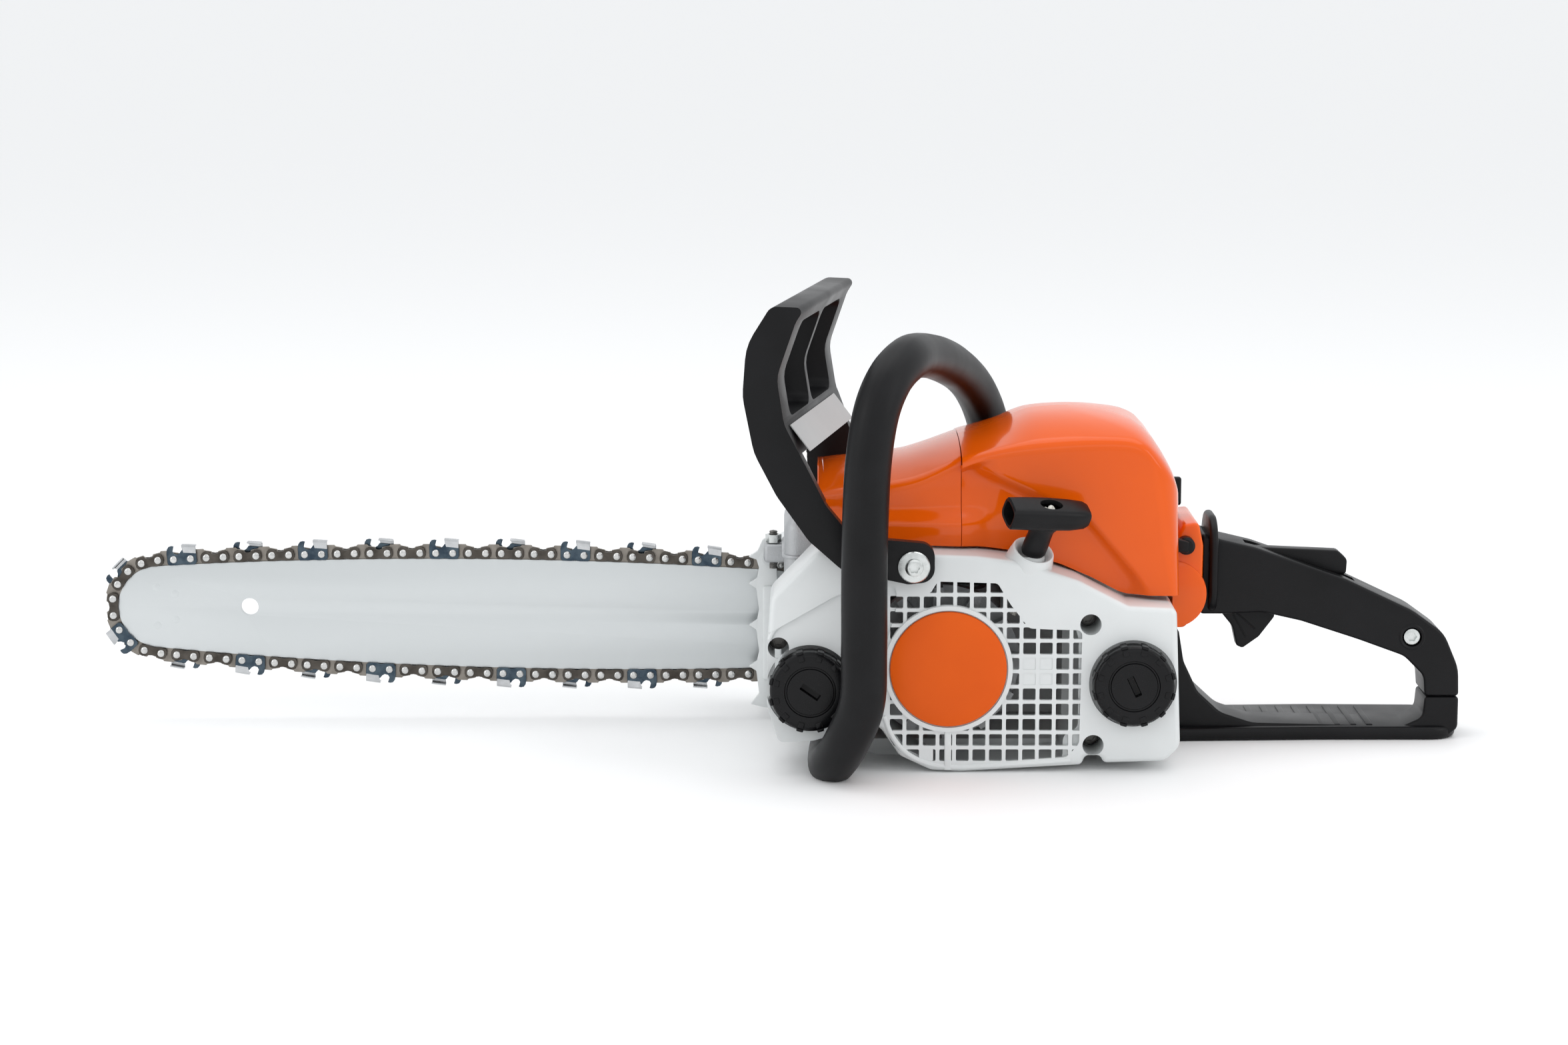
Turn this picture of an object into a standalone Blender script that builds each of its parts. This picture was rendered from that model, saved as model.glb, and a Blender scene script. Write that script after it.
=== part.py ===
"""Petrol chainsaw with a 40 cm guide bar, as separate pieces.

Design coordinates are millimetres: X runs from the bar's tip to the rear handle, Y from the
saw's left side (starter) to its right side (bar and clutch), and Z up from the ground.
FRAME_SHIFT moves the design so that the origin is the bottom centre of its bounding box.
"""

import math

import bmesh
import bpy
from mathutils import Matrix, Vector

MM = 0.001
FRAME_SHIFT = (5.9, 27.96, 0.0)
GAP = 0.3

# Crankshaft, cylinder and starter
CRANK_X, CRANK_Z = 86.0, 55.0
CYLINDER_Y = -12.0
STROKE = 28.0
ROD_LENGTH = 46.0
PISTON_RADIUS = 18.9
WEB_RADIUS = 19.0
FLYWHEEL_RADIUS = 42.0

# Bar and chain
BAR_Y = 45.0
BAR_THICKNESS = 3.6
NOSE_X, NOSE_Z = -357.5, 64.0
LINK_COUNT = 55
NOSE_RIVET_RADIUS = 27.0
SPROCKET_RIVET_RADIUS = 17.8
RUN_PEAK = 35.0
RUN_PEAK_AT = 230.0
RUN_RADIUS = 2930.0
STRAP_HALF = 3.2
BAR_TAIL = 26.0
BAR_STUD_AT = 48.0

# Casings
FAN_FACE_Y = -98.0
FAN_BACK_Y = -55.0
DRIVE_WALL_Y = 14.0
BAR_PAD_Y = 42.0
FUEL_CAP = (187.0, 49.0)
OIL_CAP = (14.0, 46.0)
CAP_RADIUS = 22.5
NECK_RADIUS = 18.0
GUARD_PIVOT = (69.0, 114.0)
GUARD_NEAR_Y = -107.0
GUARD_FAR_Y = 49.0
GUARD_SLANT = 0.19
GUARD_PANEL_FOOT = 174.0
FAN_SCREWS = ((164.0, 81.0), (-3.0, 68.0), (166.0, 15.0))
MUFFLER_STUD = (-6.0, 24.0)

# Handles
TUBE_RADIUS = 12.3
GRIP_HALF_WIDTH = 16.0
TRIGGER_PIVOT = (250.0, 86.0)
LOCKOUT_PIVOT = (262.0, 96.0)
SLOT_HALF = 5.5

# Starter rope and its grip
ROPE_EXIT = (130.5, -85.5)
PULL = Vector((0.26, -0.46, 0.85)).normalized()
GRIP_FOOT = Vector((133.0, -89.2, 118.6))

ORANGE = (0.745, 0.087, 0.003)
PALE_GREY = (0.66, 0.71, 0.71)
BLACK = (0.012, 0.012, 0.014)
STEEL = (0.45, 0.46, 0.48)
BRIGHT = (0.62, 0.65, 0.66)
DARK_STEEL = (0.09, 0.085, 0.08)
CAST = (0.38, 0.39, 0.40)


def clear_scene():
    for thing in list(bpy.data.objects):
        bpy.data.objects.remove(thing, do_unlink=True)


clear_scene()
PARTS = bpy.data.collections.new("Chainsaw")
CUTTERS = bpy.data.collections.new("Cutters")
bpy.context.scene.collection.children.link(PARTS)
bpy.context.scene.collection.children.link(CUTTERS)
ROOT = bpy.data.objects.new("chainsaw_frame", None)
ROOT.location = Vector(FRAME_SHIFT) * MM
PARTS.objects.link(ROOT)


# ---------------------------------------------------------------- tools


def paint(thing, colour, roughness=0.45, metallic=0.0):
    finish = bpy.data.materials.new(thing.name + "_finish")
    finish.use_nodes = True
    shader = finish.node_tree.nodes["Principled BSDF"]
    shader.inputs["Base Color"].default_value = (*colour, 1.0)
    shader.inputs["Roughness"].default_value = roughness
    shader.inputs["Metallic"].default_value = metallic
    thing.data.materials.append(finish)
    return thing


def solid(name, bm, origin=(0.0, 0.0, 0.0)):
    """An object from a mesh drawn in design millimetres, with its own origin at a design point."""
    bmesh.ops.translate(bm, verts=bm.verts, vec=-Vector(origin))
    bmesh.ops.scale(bm, verts=bm.verts, vec=(MM, MM, MM))
    mesh = bpy.data.meshes.new(name)
    bm.to_mesh(mesh)
    bm.free()
    thing = bpy.data.objects.new(name, mesh)
    thing.parent = ROOT
    thing.location = Vector(origin) * MM
    PARTS.objects.link(thing)
    return thing


def curve_to_bmesh(curve, matrix):
    """The evaluated mesh of a curve, with its loose caps welded."""
    guide = bpy.data.objects.new("guide", curve)
    PARTS.objects.link(guide)
    graph = bpy.context.evaluated_depsgraph_get()
    mesh = bpy.data.meshes.new_from_object(guide.evaluated_get(graph))
    bm = bmesh.new()
    bm.from_mesh(mesh)
    bmesh.ops.transform(bm, matrix=matrix, verts=bm.verts)
    bmesh.ops.remove_doubles(bm, verts=bm.verts, dist=0.001)
    bpy.data.objects.remove(guide, do_unlink=True)
    bpy.data.curves.remove(curve)
    bpy.data.meshes.remove(mesh)
    return bm


AXIS_TURN = {
    "X": Matrix(((0, 0, 1, 0), (1, 0, 0, 0), (0, 1, 0, 0), (0, 0, 0, 1))),
    "Y": Matrix(((1, 0, 0, 0), (0, 0, -1, 0), (0, 1, 0, 0), (0, 0, 0, 1))),
    "Z": Matrix.Identity(4),
}


def rounded(corners, step=24.0):
    """Points of a closed outline whose corners (a, b, radius) are turned into arcs."""
    points = []
    count = len(corners)
    for index, (a, b, radius) in enumerate(corners):
        here = Vector((a, b))
        before = Vector(corners[index - 1][:2]) - here
        after = Vector(corners[(index + 1) % count][:2]) - here
        if radius <= 0:
            points.append((a, b))
            continue
        half = before.angle(after) / 2
        reach = min(radius / math.tan(half), 0.49 * before.length, 0.49 * after.length)
        radius = reach * math.tan(half)
        middle = here + (before.normalized() + after.normalized()).normalized() * radius / math.sin(half)
        start = here + before.normalized() * reach - middle
        end = here + after.normalized() * reach - middle
        turn = start.angle_signed(end)
        arcs = max(1, round(abs(math.degrees(turn)) / step))
        for part in range(arcs + 1):
            spun = Matrix.Rotation(-turn * part / arcs, 2) @ start
            points.append(tuple(middle + spun))
    return points


def circle(centre, radius, count=24, start=0.0):
    return [
        (
            centre[0] + radius * math.cos(math.radians(start) + math.tau * k / count),
            centre[1] + radius * math.sin(math.radians(start) + math.tau * k / count),
        )
        for k in range(count)
    ]


def plate(name, loops, low, high, axis="Y", origin=(0.0, 0.0, 0.0)):
    """A flat outline, with any holes, between two heights along an axis."""
    curve = bpy.data.curves.new(name, "CURVE")
    curve.dimensions = "2D"
    curve.fill_mode = "BOTH"
    curve.extrude = (high - low) / 2
    for loop in loops:
        spline = curve.splines.new("POLY")
        spline.points.add(len(loop) - 1)
        for point, (a, b) in zip(spline.points, loop):
            point.co = (a, b, 0.0, 1.0)
        spline.use_cyclic_u = True
    middle = (low + high) / 2
    lift = Matrix.Translation({"X": (middle, 0, 0), "Y": (0, middle, 0), "Z": (0, 0, middle)}[axis])
    return solid(name, curve_to_bmesh(curve, lift @ AXIS_TURN[axis]), origin)


def tube(name, points, radius, roundness=3, origin=(0.0, 0.0, 0.0)):
    curve = bpy.data.curves.new(name, "CURVE")
    curve.dimensions = "3D"
    curve.bevel_depth = radius
    curve.bevel_resolution = roundness
    curve.use_fill_caps = True
    spline = curve.splines.new("POLY")
    spline.points.add(len(points) - 1)
    for point, place in zip(spline.points, points):
        point.co = (*place, 1.0)
    return solid(name, curve_to_bmesh(curve, Matrix.Identity(4)), origin)


def smooth_path(knots, parts=3):
    """Points along a Catmull-Rom curve through the knots."""
    knots = [Vector(knot) for knot in knots]
    ends = [knots[0] * 2 - knots[1], *knots, knots[-1] * 2 - knots[-2]]
    path = []
    for a, b, c, d in zip(ends, ends[1:], ends[2:], ends[3:]):
        for part in range(parts):
            t = part / parts
            path.append(
                0.5 * (2 * b + (c - a) * t + (2 * a - 5 * b + 4 * c - d) * t**2 + (3 * b - a - 3 * c + d) * t**3)
            )
    return [*path, knots[-1]]


def block(name, low, high, bevel=0.0, origin=(0.0, 0.0, 0.0)):
    bm = bmesh.new()
    size = Vector(high) - Vector(low)
    centre = (Vector(high) + Vector(low)) / 2
    bmesh.ops.create_cube(bm, size=1.0, matrix=Matrix.Translation(centre) @ Matrix.Diagonal((*size, 1.0)))
    if bevel:
        bmesh.ops.bevel(bm, geom=bm.edges[:], offset=bevel, segments=2, profile=0.5, affect="EDGES")
    return solid(name, bm, origin)


def rod(name, centre, radius, low, high, axis="Y", count=20, end_radius=None, origin=None):
    """A cylinder or cone along an axis; centre holds the other two design coordinates."""
    bm = bmesh.new()
    bmesh.ops.create_cone(
        bm,
        cap_ends=True,
        segments=count,
        radius1=radius,
        radius2=radius if end_radius is None else end_radius,
        depth=high - low,
    )
    a, b = centre
    middle = (low + high) / 2
    if axis == "Y":
        spot, turn = (a, middle, b), Matrix.Rotation(-math.pi / 2, 4, "X")
    elif axis == "X":
        spot, turn = (middle, a, b), Matrix.Rotation(math.pi / 2, 4, "Y")
    else:
        spot, turn = (a, b, middle), Matrix.Identity(4)
    bmesh.ops.transform(bm, matrix=Matrix.Translation(spot) @ turn, verts=bm.verts)
    return solid(name, bm, spot if origin is None else origin)


def turned(name, profile, centre, axis="Y", steps=24, ring=False):
    """A turned piece: profile points (radius, height) run down the outer side."""
    mesh = bpy.data.meshes.new(name)
    points = [(radius * MM, 0.0, height * MM) for radius, height in profile]
    edges = [(k, k + 1) for k in range(len(points) - 1)]
    if ring:
        edges.append((len(points) - 1, 0))
    mesh.from_pydata(points, edges, [])
    thing = bpy.data.objects.new(name, mesh)
    thing.parent = ROOT
    thing.location = Vector(centre) * MM
    thing.rotation_euler = {
        "X": (0.0, math.pi / 2, 0.0),
        "Y": (-math.pi / 2, 0.0, 0.0),
        "Z": (0.0, 0.0, 0.0),
    }[axis]
    PARTS.objects.link(thing)
    screw = thing.modifiers.new("turn", "SCREW")
    screw.axis = "Z"
    screw.steps = steps
    screw.render_steps = steps
    screw.use_merge_vertices = True
    screw.merge_threshold = 0.00001
    screw.use_normal_calculate = False
    return thing


def as_tool(thing):
    PARTS.objects.unlink(thing)
    CUTTERS.objects.link(thing)
    thing.hide_render = True
    thing.display_type = "WIRE"


def boolean(thing, tools, operation):
    for tool in tools:
        as_tool(tool)
        step = thing.modifiers.new(tool.name, "BOOLEAN")
        step.operation = operation
        step.solver = "EXACT"
        step.object = tool
    return thing


def cut(thing, *tools):
    return boolean(thing, tools, "DIFFERENCE")


def join(thing, *tools):
    return boolean(thing, tools, "UNION")


def keep_common(thing, *tools):
    return boolean(thing, tools, "INTERSECT")


def soften(thing, width, segments=2, angle=40.0):
    bevel = thing.modifiers.new("edges", "BEVEL")
    bevel.width = width * MM
    bevel.segments = segments
    bevel.limit_method = "ANGLE"
    bevel.angle_limit = math.radians(angle)
    return thing


def hexagon(centre, across_flats, start=0.0):
    return circle(centre, across_flats / math.sqrt(3), 6, start)


# ---------------------------------------------------------------- bar and chain loop

BAR_LENGTH = math.hypot(CRANK_X - NOSE_X, NOSE_Z - CRANK_Z)
ALONG = Vector((NOSE_X - CRANK_X, NOSE_Z - CRANK_Z)) / BAR_LENGTH
ACROSS = Vector((ALONG.y, -ALONG.x))


def on_bar(along, across):
    """Design (x, z) of a point given along the bar from the sprocket and across it."""
    spot = Vector((CRANK_X, CRANK_Z)) + ALONG * along + ACROSS * across
    return (spot.x, spot.y)


def hull(points):
    """Convex outline of points, anticlockwise."""
    points = sorted(set(points))
    sides = []
    for run in (points, points[::-1]):
        side = []
        for point in run:
            while len(side) > 1:
                (ax, ay), (bx, by) = side[-2:]
                if (bx - ax) * (point[1] - ay) - (by - ay) * (point[0] - ax) > 1e-9:
                    break
                side.pop()
            side.append(point)
        sides.append(side[:-1])
    return sides[0] + sides[1]


def run_height(along, offset):
    """Height of a straight run above the bar's centre line."""
    return RUN_PEAK + offset - (along - RUN_PEAK_AT) ** 2 / (2 * RUN_RADIUS)


def loop_outline(offset, arc_step=15.0, run_step=42.0):
    """The chain's rivet line moved outwards by an offset, in bar coordinates."""
    spots = []
    for centre, radius in ((0.0, SPROCKET_RIVET_RADIUS), (BAR_LENGTH, NOSE_RIVET_RADIUS)):
        spots += circle((centre, 0.0), radius + offset, round(360 / arc_step))
    reach = round((BAR_LENGTH - 110.0) / run_step)
    for part in range(reach + 1):
        along = 76.0 + (BAR_LENGTH - 26.0 - 76.0) * part / reach
        height = run_height(along, offset)
        spots += [(along, height), (along, -height)]
    return hull(spots)


class Loop:
    """Walks along a closed outline in bar coordinates."""

    def __init__(self, outline):
        self.points = [Vector(point) for point in outline]
        self.ends = self.points[1:] + self.points[:1]
        self.lengths = [(b - a).length for a, b in zip(self.points, self.ends)]
        self.total = sum(self.lengths)

    def at(self, distance):
        distance %= self.total
        for a, b, length in zip(self.points, self.ends, self.lengths):
            if distance <= length:
                heading = (b - a) / length
                return a + heading * distance, heading
            distance -= length
        return self.points[0], (self.ends[0] - self.points[0]).normalized()


RIVET_LINE = Loop(loop_outline(0.0, 6.0, 12.0))


def along_loop(distance, outward):
    """Bar coordinates of a point at a distance along the rivet line and a height outside it."""
    spot, heading = RIVET_LINE.at(distance)
    normal = Vector((heading.y, -heading.x))
    return spot + normal * outward


def cutter_side(link):
    """Which side a cutter sits on for a drive link: -1 near, 1 far, 0 none."""
    if link % 2:
        return 0
    order = link // 2
    return 0 if order >= 27 else (-1 if order % 2 else 1)


def strap_ring(side):
    """Outer edge of one row of tie straps, with its cutters, in bar coordinates."""
    pitch = RIVET_LINE.total / LINK_COUNT
    outer = []
    for link in range(LINK_COUNT):
        start = link * pitch
        if cutter_side(link) == side:
            shape = ((0.02, 3.2), (0.10, 7.4), (0.22, 5.2), (0.30, 3.4), (0.42, 7.6), (0.86, 6.6),
                (0.90, 3.2))
            outer += [along_loop(start + share * pitch, height) for share, height in shape]
        elif not 17.0 < along_loop(start, 0.0).x < BAR_LENGTH - 14.0:
            outer += [along_loop(start, STRAP_HALF), along_loop(start + pitch / 2, STRAP_HALF)]
        elif link % 3 == 0 or cutter_side((link + 1) % LINK_COUNT) == side:
            outer.append(along_loop(start + pitch * 0.95, STRAP_HALF))
    return [on_bar(*spot) for spot in outer]


def inner_ring(offset):
    return [on_bar(*spot) for spot in loop_outline(offset)]


def drive_link_ring():
    """Inner edge of the drive links: deep in the bar's groove on the runs, shallow round both ends."""
    edge = []
    for along, across in loop_outline(-2.95):
        if 80.0 < along < BAR_LENGTH - 30.0:
            across -= math.copysign(4.2, across)
        edge.append(on_bar(along, across))
    return edge


def make_saw_chain():
    near = plate("saw_chain", [strap_ring(-1), inner_ring(-2.8)], BAR_Y - 2.6, BAR_Y - 0.4)
    far = plate("chain_far_straps", [strap_ring(1), inner_ring(-2.8)], BAR_Y + 0.4, BAR_Y + 2.6)
    middle = plate("chain_drive_links", [inner_ring(2.8), drive_link_ring()], BAR_Y - 0.55, BAR_Y + 0.55)
    return paint(join(near, middle, far), DARK_STEEL, 0.35, 1.0)


def make_guide_bar():
    edge = [(a, b) for a, b in loop_outline(-STRAP_HALF - 0.1, 12.0) if a > 84.0]
    upper = sorted([point for point in edge if point[1] > 0], key=lambda point: point[0])
    lower = sorted([point for point in edge if point[1] <= 0], key=lambda point: -point[0])
    tail = [(62.0, -23.5), (34.0, -18.5), (BAR_TAIL, -12.0), (BAR_TAIL, 12.0), (34.0, 18.5), (62.0, 23.5)]
    outline = [on_bar(*point) for point in upper + lower + tail]
    slot = [on_bar(*point) for point in rounded([(70, -4.2, 4.1), (70, 4.2, 4.1), (34, 4.2, 4.1),
        (34, -4.2, 4.1)])]
    hang_hole = circle(on_bar(392.0, 1.0), 5.0, 16)
    half = BAR_THICKNESS / 2
    bar = plate("guide_bar", [outline, slot[::-1], hang_hole[::-1]], BAR_Y - half, BAR_Y + half)
    groove = plate(
        "bar_groove_cutter", [inner_ring(2.0), inner_ring(-9.0)], BAR_Y - 0.8, BAR_Y + 0.8
    )
    nose = rod("nose_slot_cutter", (NOSE_X, NOSE_Z), 34.0, BAR_Y - 1.0, BAR_Y + 1.0, count=24)
    axle = rod("nose_axle", (NOSE_X, NOSE_Z), 4.0, BAR_Y - half, BAR_Y + half, count=16)
    return paint(join(cut(bar, groove, nose), axle), BRIGHT, 0.35, 0.9)


def make_nose_sprocket():
    teeth = 9
    points = []
    for tooth in range(teeth):
        for share, radius in ((0.0, 17.5), (0.28, 19.5), (0.5, 23.2), (0.72, 19.5)):
            angle = math.tau * (tooth + share) / teeth
            points.append((NOSE_X + radius * math.cos(angle), NOSE_Z + radius * math.sin(angle)))
    hub = circle((NOSE_X, NOSE_Z), 4.4, 16)
    star = plate(
        "nose_sprocket", [points, hub[::-1]], BAR_Y - 0.6, BAR_Y + 0.6, origin=(NOSE_X, BAR_Y, NOSE_Z)
    )
    return paint(star, STEEL, 0.3, 1.0)


# ---------------------------------------------------------------- crank, cylinder and clutch


def bore(name, centre, radius, low, high, axis="Y", count=24):
    return rod(name + "_cutter", centre, radius, low, high, axis, count)


def screw_bore(name, spot, start, seat_radius, seat_end, hole_radius, end):
    """A cutter for a recessed screw along Y: a wide seat, then the hole."""
    profile = [(0, end), (hole_radius, end), (hole_radius, seat_end), (seat_radius, seat_end)]
    profile += [(seat_radius, start), (0, start)]
    return turned(name + "_cutter", profile, (spot[0], 0.0, spot[1]), "Y", 16)


def make_crank():
    centre = (CRANK_X, CRANK_Z)
    y = CYLINDER_Y
    fan_side = rod("crank_half_fan_side", centre, WEB_RADIUS, y - 11, y - 4.4, count=24)
    fan_shaft = rod("fan_shaft", centre, 7.0, FAN_BACK_Y - 26, y - 10.5, count=16)
    paint(join(fan_side, fan_shaft), STEEL, 0.35, 1.0)
    drive_side = rod("crank_half_drive_side", centre, WEB_RADIUS, y + 4.4, y + 11, count=24)
    drive_shaft = rod("drive_shaft", centre, 7.0, y + 10.5, BAR_Y + 6.5, count=16)
    paint(join(drive_side, drive_shaft), STEEL, 0.35, 1.0)
    for name, low, high in (
        ("main_bearing_fan_side", y - 22.7, y - 15.3),
        ("main_bearing_drive_side", y + 15.3, y + 22.7),
    ):
        bearing = plate(name, [circle(centre, 15.7), circle(centre, 7.3)[::-1]], low, high)
        paint(bearing, STEEL, 0.3, 1.0)


def make_piston_and_rod():
    y = CYLINDER_Y
    pin_z = CRANK_Z + STROKE / 2
    wrist_z = pin_z + ROD_LENGTH
    crown = [(0, 12), (PISTON_RADIUS, 12), (PISTON_RADIUS, -11), (15.5, -11), (15.5, 8), (0, 8)]
    piston = turned("piston", crown, (CRANK_X, y, wrist_z), "Z", 24)
    across = bore("wrist_bore", (CRANK_X, wrist_z), 4.3, y - 22, y + 22, count=16)
    paint(cut(piston, across), CAST, 0.35, 1.0)
    wrist = rod("wrist_pin", (CRANK_X, wrist_z), 4.0, y - 14.5, y + 14.5, count=16)
    paint(wrist, STEEL, 0.3, 1.0)
    outline = (
        circle((CRANK_X, wrist_z), 7.5, 16)[:9]
        + circle((CRANK_X, pin_z), 8.0, 16)[8:]
        + circle((CRANK_X, pin_z), 8.0, 16)[:1]
    )
    small = circle((CRANK_X, wrist_z), 4.3, 14)
    large = circle((CRANK_X, pin_z), 4.3, 14)
    shank = plate(
        "connecting_rod", [outline, small[::-1], large[::-1]],
        y - 3.6, y + 3.6, origin=(CRANK_X, y, wrist_z)
    )
    paint(shank, STEEL, 0.35, 1.0)
    pin = rod("crank_pin", (CRANK_X, pin_z), 4.0, y - 4.0, y + 4.0, count=16)
    paint(pin, STEEL, 0.3, 1.0)


def make_cylinder():
    base, roof, fins = 82.0, 136.0, 5
    fin_step = (roof - base - 6) / fins
    profile = [(0, roof), (29, roof)]
    for fin in range(fins):
        top = roof - 3 - fin * fin_step
        profile += [(29, top), (23.5, top), (23.5, top - fin_step + 3), (29, top - fin_step + 3)]
    profile += [(29, base), (19.3, base), (19.3, 129.5), (0, 129.5)]
    cylinder = turned("cylinder", profile, (CRANK_X, CYLINDER_Y, 0.0), "Z", 18)
    paint(cylinder, CAST, 0.5, 1.0)
    y = CYLINDER_Y
    case = block("crankcase", (CRANK_X - 28, y - 23.0, 24.0), (CRANK_X + 28, y + 23.0, 81.7), 4.0)
    chamber = bore("crank_chamber", (CRANK_X, CRANK_Z), 25.5, y - 15, y + 15)
    seats = bore("bearing_seats", (CRANK_X, CRANK_Z), 16.0, y - 30, y + 30)
    skirt = bore("skirt", (CRANK_X, y), 20.0, 56.0, 100.0, "Z")
    paint(cut(case, chamber, seats, skirt), CAST, 0.55, 1.0)


def make_ignition():
    plug_x, plug_z = CRANK_X, 128.0
    start = CYLINDER_Y - 29.3
    plug = [(0, 0), (5.5, 0), (5.5, -2), (8.5, -2.5), (8.5, -7), (5, -8), (4.5, -13), (2, -13.5),
        (2, -17), (0, -17)]
    paint(turned("spark_plug", plug, (plug_x, start, plug_z), "Y", 12), BRIGHT, 0.3, 0.6)
    outline = [(0, -17.4), (7.5, -17.4), (7.5, -25), (5.5, -27), (0, -27)]
    paint(turned("spark_plug_boot", outline, (plug_x, start, plug_z), "Y", 12), BLACK, 0.7)
    module = block("ignition_module", (90.0, -74.0, 98.2), (120.0, -59.0, 108.5), 2.0)
    paint(module, BLACK, 0.5)
    lead = smooth_path(
        [(110, -57.8, 103), (110.5, -51, 105), (110, -47, 113), (104, -50, 122), (98.8, -56.5, 127),
            (96.6, -62, 128)]
    )
    paint(tube("ignition_lead", lead, 2.6, 2), BLACK, 0.6)


def make_flywheel():
    centre = (CRANK_X, CRANK_Z)
    blades = 12
    rim = FLYWHEEL_RADIUS
    outline = []
    for blade in range(blades):
        for share, radius in ((0.0, rim), (0.22, rim), (0.34, 31.0), (0.9, 31.0)):
            angle = math.tau * (blade + share) / blades
            outline.append((CRANK_X + radius * math.cos(angle), CRANK_Z + radius * math.sin(angle)))
    wheel = plate("flywheel", [outline], -75.0, -65.5, origin=(CRANK_X, -68.0, CRANK_Z))
    disc = rod("flywheel_disc", centre, rim, -66.0, -59.0, count=36)
    shaft = bore("flywheel_bore", centre, 7.3, -80.0, -50.0, count=16)
    paint(cut(join(wheel, disc), shaft), CAST, 0.45, 1.0)
    nut = plate("flywheel_nut", [hexagon(centre, 17.0), circle(centre, 7.3, 12)[::-1]], -80.5, -75.3)
    paint(nut, STEEL, 0.3, 1.0)


def make_clutch():
    centre = (CRANK_X, CRANK_Z)
    shoes = []
    for shoe in range(3):
        start = math.tau * shoe / 3
        for share in (0.04, 0.3, 0.5, 0.7, 0.96):
            angle = start + share * math.tau / 3
            shoes.append((CRANK_X + 29.0 * math.cos(angle), CRANK_Z + 29.0 * math.sin(angle)))
        shoes.append((CRANK_X + 13.0 * math.cos(start + math.tau / 3),
            CRANK_Z + 13.0 * math.sin(start + math.tau / 3)))
    hub = plate("clutch_hub", [shoes, circle(centre, 7.3, 16)[::-1]], 25.5, 36.5)
    paint(hub, CAST, 0.5, 1.0)
    drum = [(14.3, 48.5), (14.3, 41.0), (33.0, 41.0), (33.0, 24.5), (31.0, 24.5), (31.0, 39.0),
        (7.3, 39.0), (7.3, 48.5)]
    sprocket = turned("clutch_drum", drum, (CRANK_X, 0.0, CRANK_Z), "Y", 30, ring=True)
    teeth = []
    for tooth in range(6):
        angle = math.tau * (tooth + 0.5) / 6
        spot = (CRANK_X + 16.0 * math.cos(angle), CRANK_Z + 16.0 * math.sin(angle))
        teeth.append(bore(f"sprocket_gap_{tooth}", spot, 3.2, 41.3, 50.0, count=10))
    paint(cut(sprocket, *teeth), STEEL, 0.35, 1.0)
    band = circle(centre, 35.0, 40, 20.0)[:36] + circle(centre, 33.6, 40, 20.0)[:36][::-1]
    paint(plate("brake_band", [band], 28.0, 36.0), STEEL, 0.4, 1.0)


def make_oil_pump():
    body = block("oil_pump", (CRANK_X - 34, 16.3, CRANK_Z - 26), (CRANK_X + 12, 22.5, CRANK_Z - 10), 2.0)
    paint(body, BLACK, 0.5)


# ---------------------------------------------------------------- casings


def make_engine_housing():
    outline = rounded(
        [(-1, 18, 3), (17, 16, 3), (50, 0, 4), (160, 0, 4), (166, 5, 3), (206, 5, 6), (212.7, 14, 6)]
        + [(212.7, 80, 4), (196, 86, 4), (150, 102, 6), (132, 112, 4), (108, 112, 4), (96, 104, 4),
          (30, 104, 6)]
        + [(-1, 84, 8)]
    )
    housing = plate("engine_housing", [outline], FAN_BACK_Y + GAP, 40.0)
    engine_bay = block("engine_bay_cutter", (48.0, -60.0, 9.0), (152.0, DRIVE_WALL_Y, 140.0))
    muffler_bay = block("muffler_bay_cutter", (-10.0, -38.0, 82.5), (53.0, 60.0, 140.0))
    carb_bay = block("carb_bay_cutter", (148.0, -46.0, 86.0), (240.0, 60.0, 140.0))
    clutch_bay = bore("clutch_bay", (CRANK_X, CRANK_Z), 38.0, 23.5, 60.0, count=40)
    clutch_top = block("clutch_top_cutter", (CRANK_X - 20, 23.5, CRANK_Z), (CRANK_X + 20, 60.0, 98.0))
    shaft_hole = bore("crank_seal", (CRANK_X, CRANK_Z), 11.0, 0.0, 30.0, count=20)
    bearing_room = block("case_room_cutter", (50.0, 5.0, 15.0), (122.0, 23.0, 130.0))
    oil_tank = block("oil_tank_cutter", (3.0, -48.0, 22.0), (42.0, 30.0, 76.0), 5.0)
    fuel_tank = block("fuel_tank_cutter", (158.0, -48.0, 11.0), (206.0, 30.0, 78.0), 5.0)
    necks = []
    mouths = []
    for name, spot in (("oil", OIL_CAP), ("fuel", FUEL_CAP)):
        necks.append(rod(name + "_neck", spot, NECK_RADIUS, FAN_FACE_Y + 2.0, FAN_BACK_Y + 4.0, count=28))
        mouths.append(bore(name + "_mouth", spot, 14.5, FAN_FACE_Y - 4.0, -40.0, count=28))
    pad = plate(
        "bar_pad",
        [rounded([(4, 40, 5), (50, 39, 8), (50, 71, 8), (4, 74, 5)])],
        39.0,
        BAR_PAD_Y,
    )
    handle_boss = rod("handle_boss", (120.0, 103.0), 8.5, 30.0, 47.5, count=20)
    guard_pin = rod("guard_pin", GUARD_PIVOT, 3.9, 38.0, 48.6, count=16)
    guard_lug = rod("guard_lug", GUARD_PIVOT, 4.9, 30.0, 41.0, count=16)
    guard_web = block("guard_web", (63.0, 30.0, 95.0), (75.0, 39.5, 113.0))
    stud_hole = bore("bar_stud_hole", on_bar(BAR_STUD_AT, 0.0), 4.3, 32.3, 60.0, count=16)
    shaped = cut(housing, engine_bay, muffler_bay, carb_bay, clutch_bay, clutch_top, bearing_room)
    shaped = join(shaped, pad, handle_boss, guard_web, guard_lug, guard_pin, *necks)
    shaped = cut(shaped, oil_tank, fuel_tank, shaft_hole, stud_hole, *mouths)
    paint(shaped, PALE_GREY, 0.4)


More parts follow.
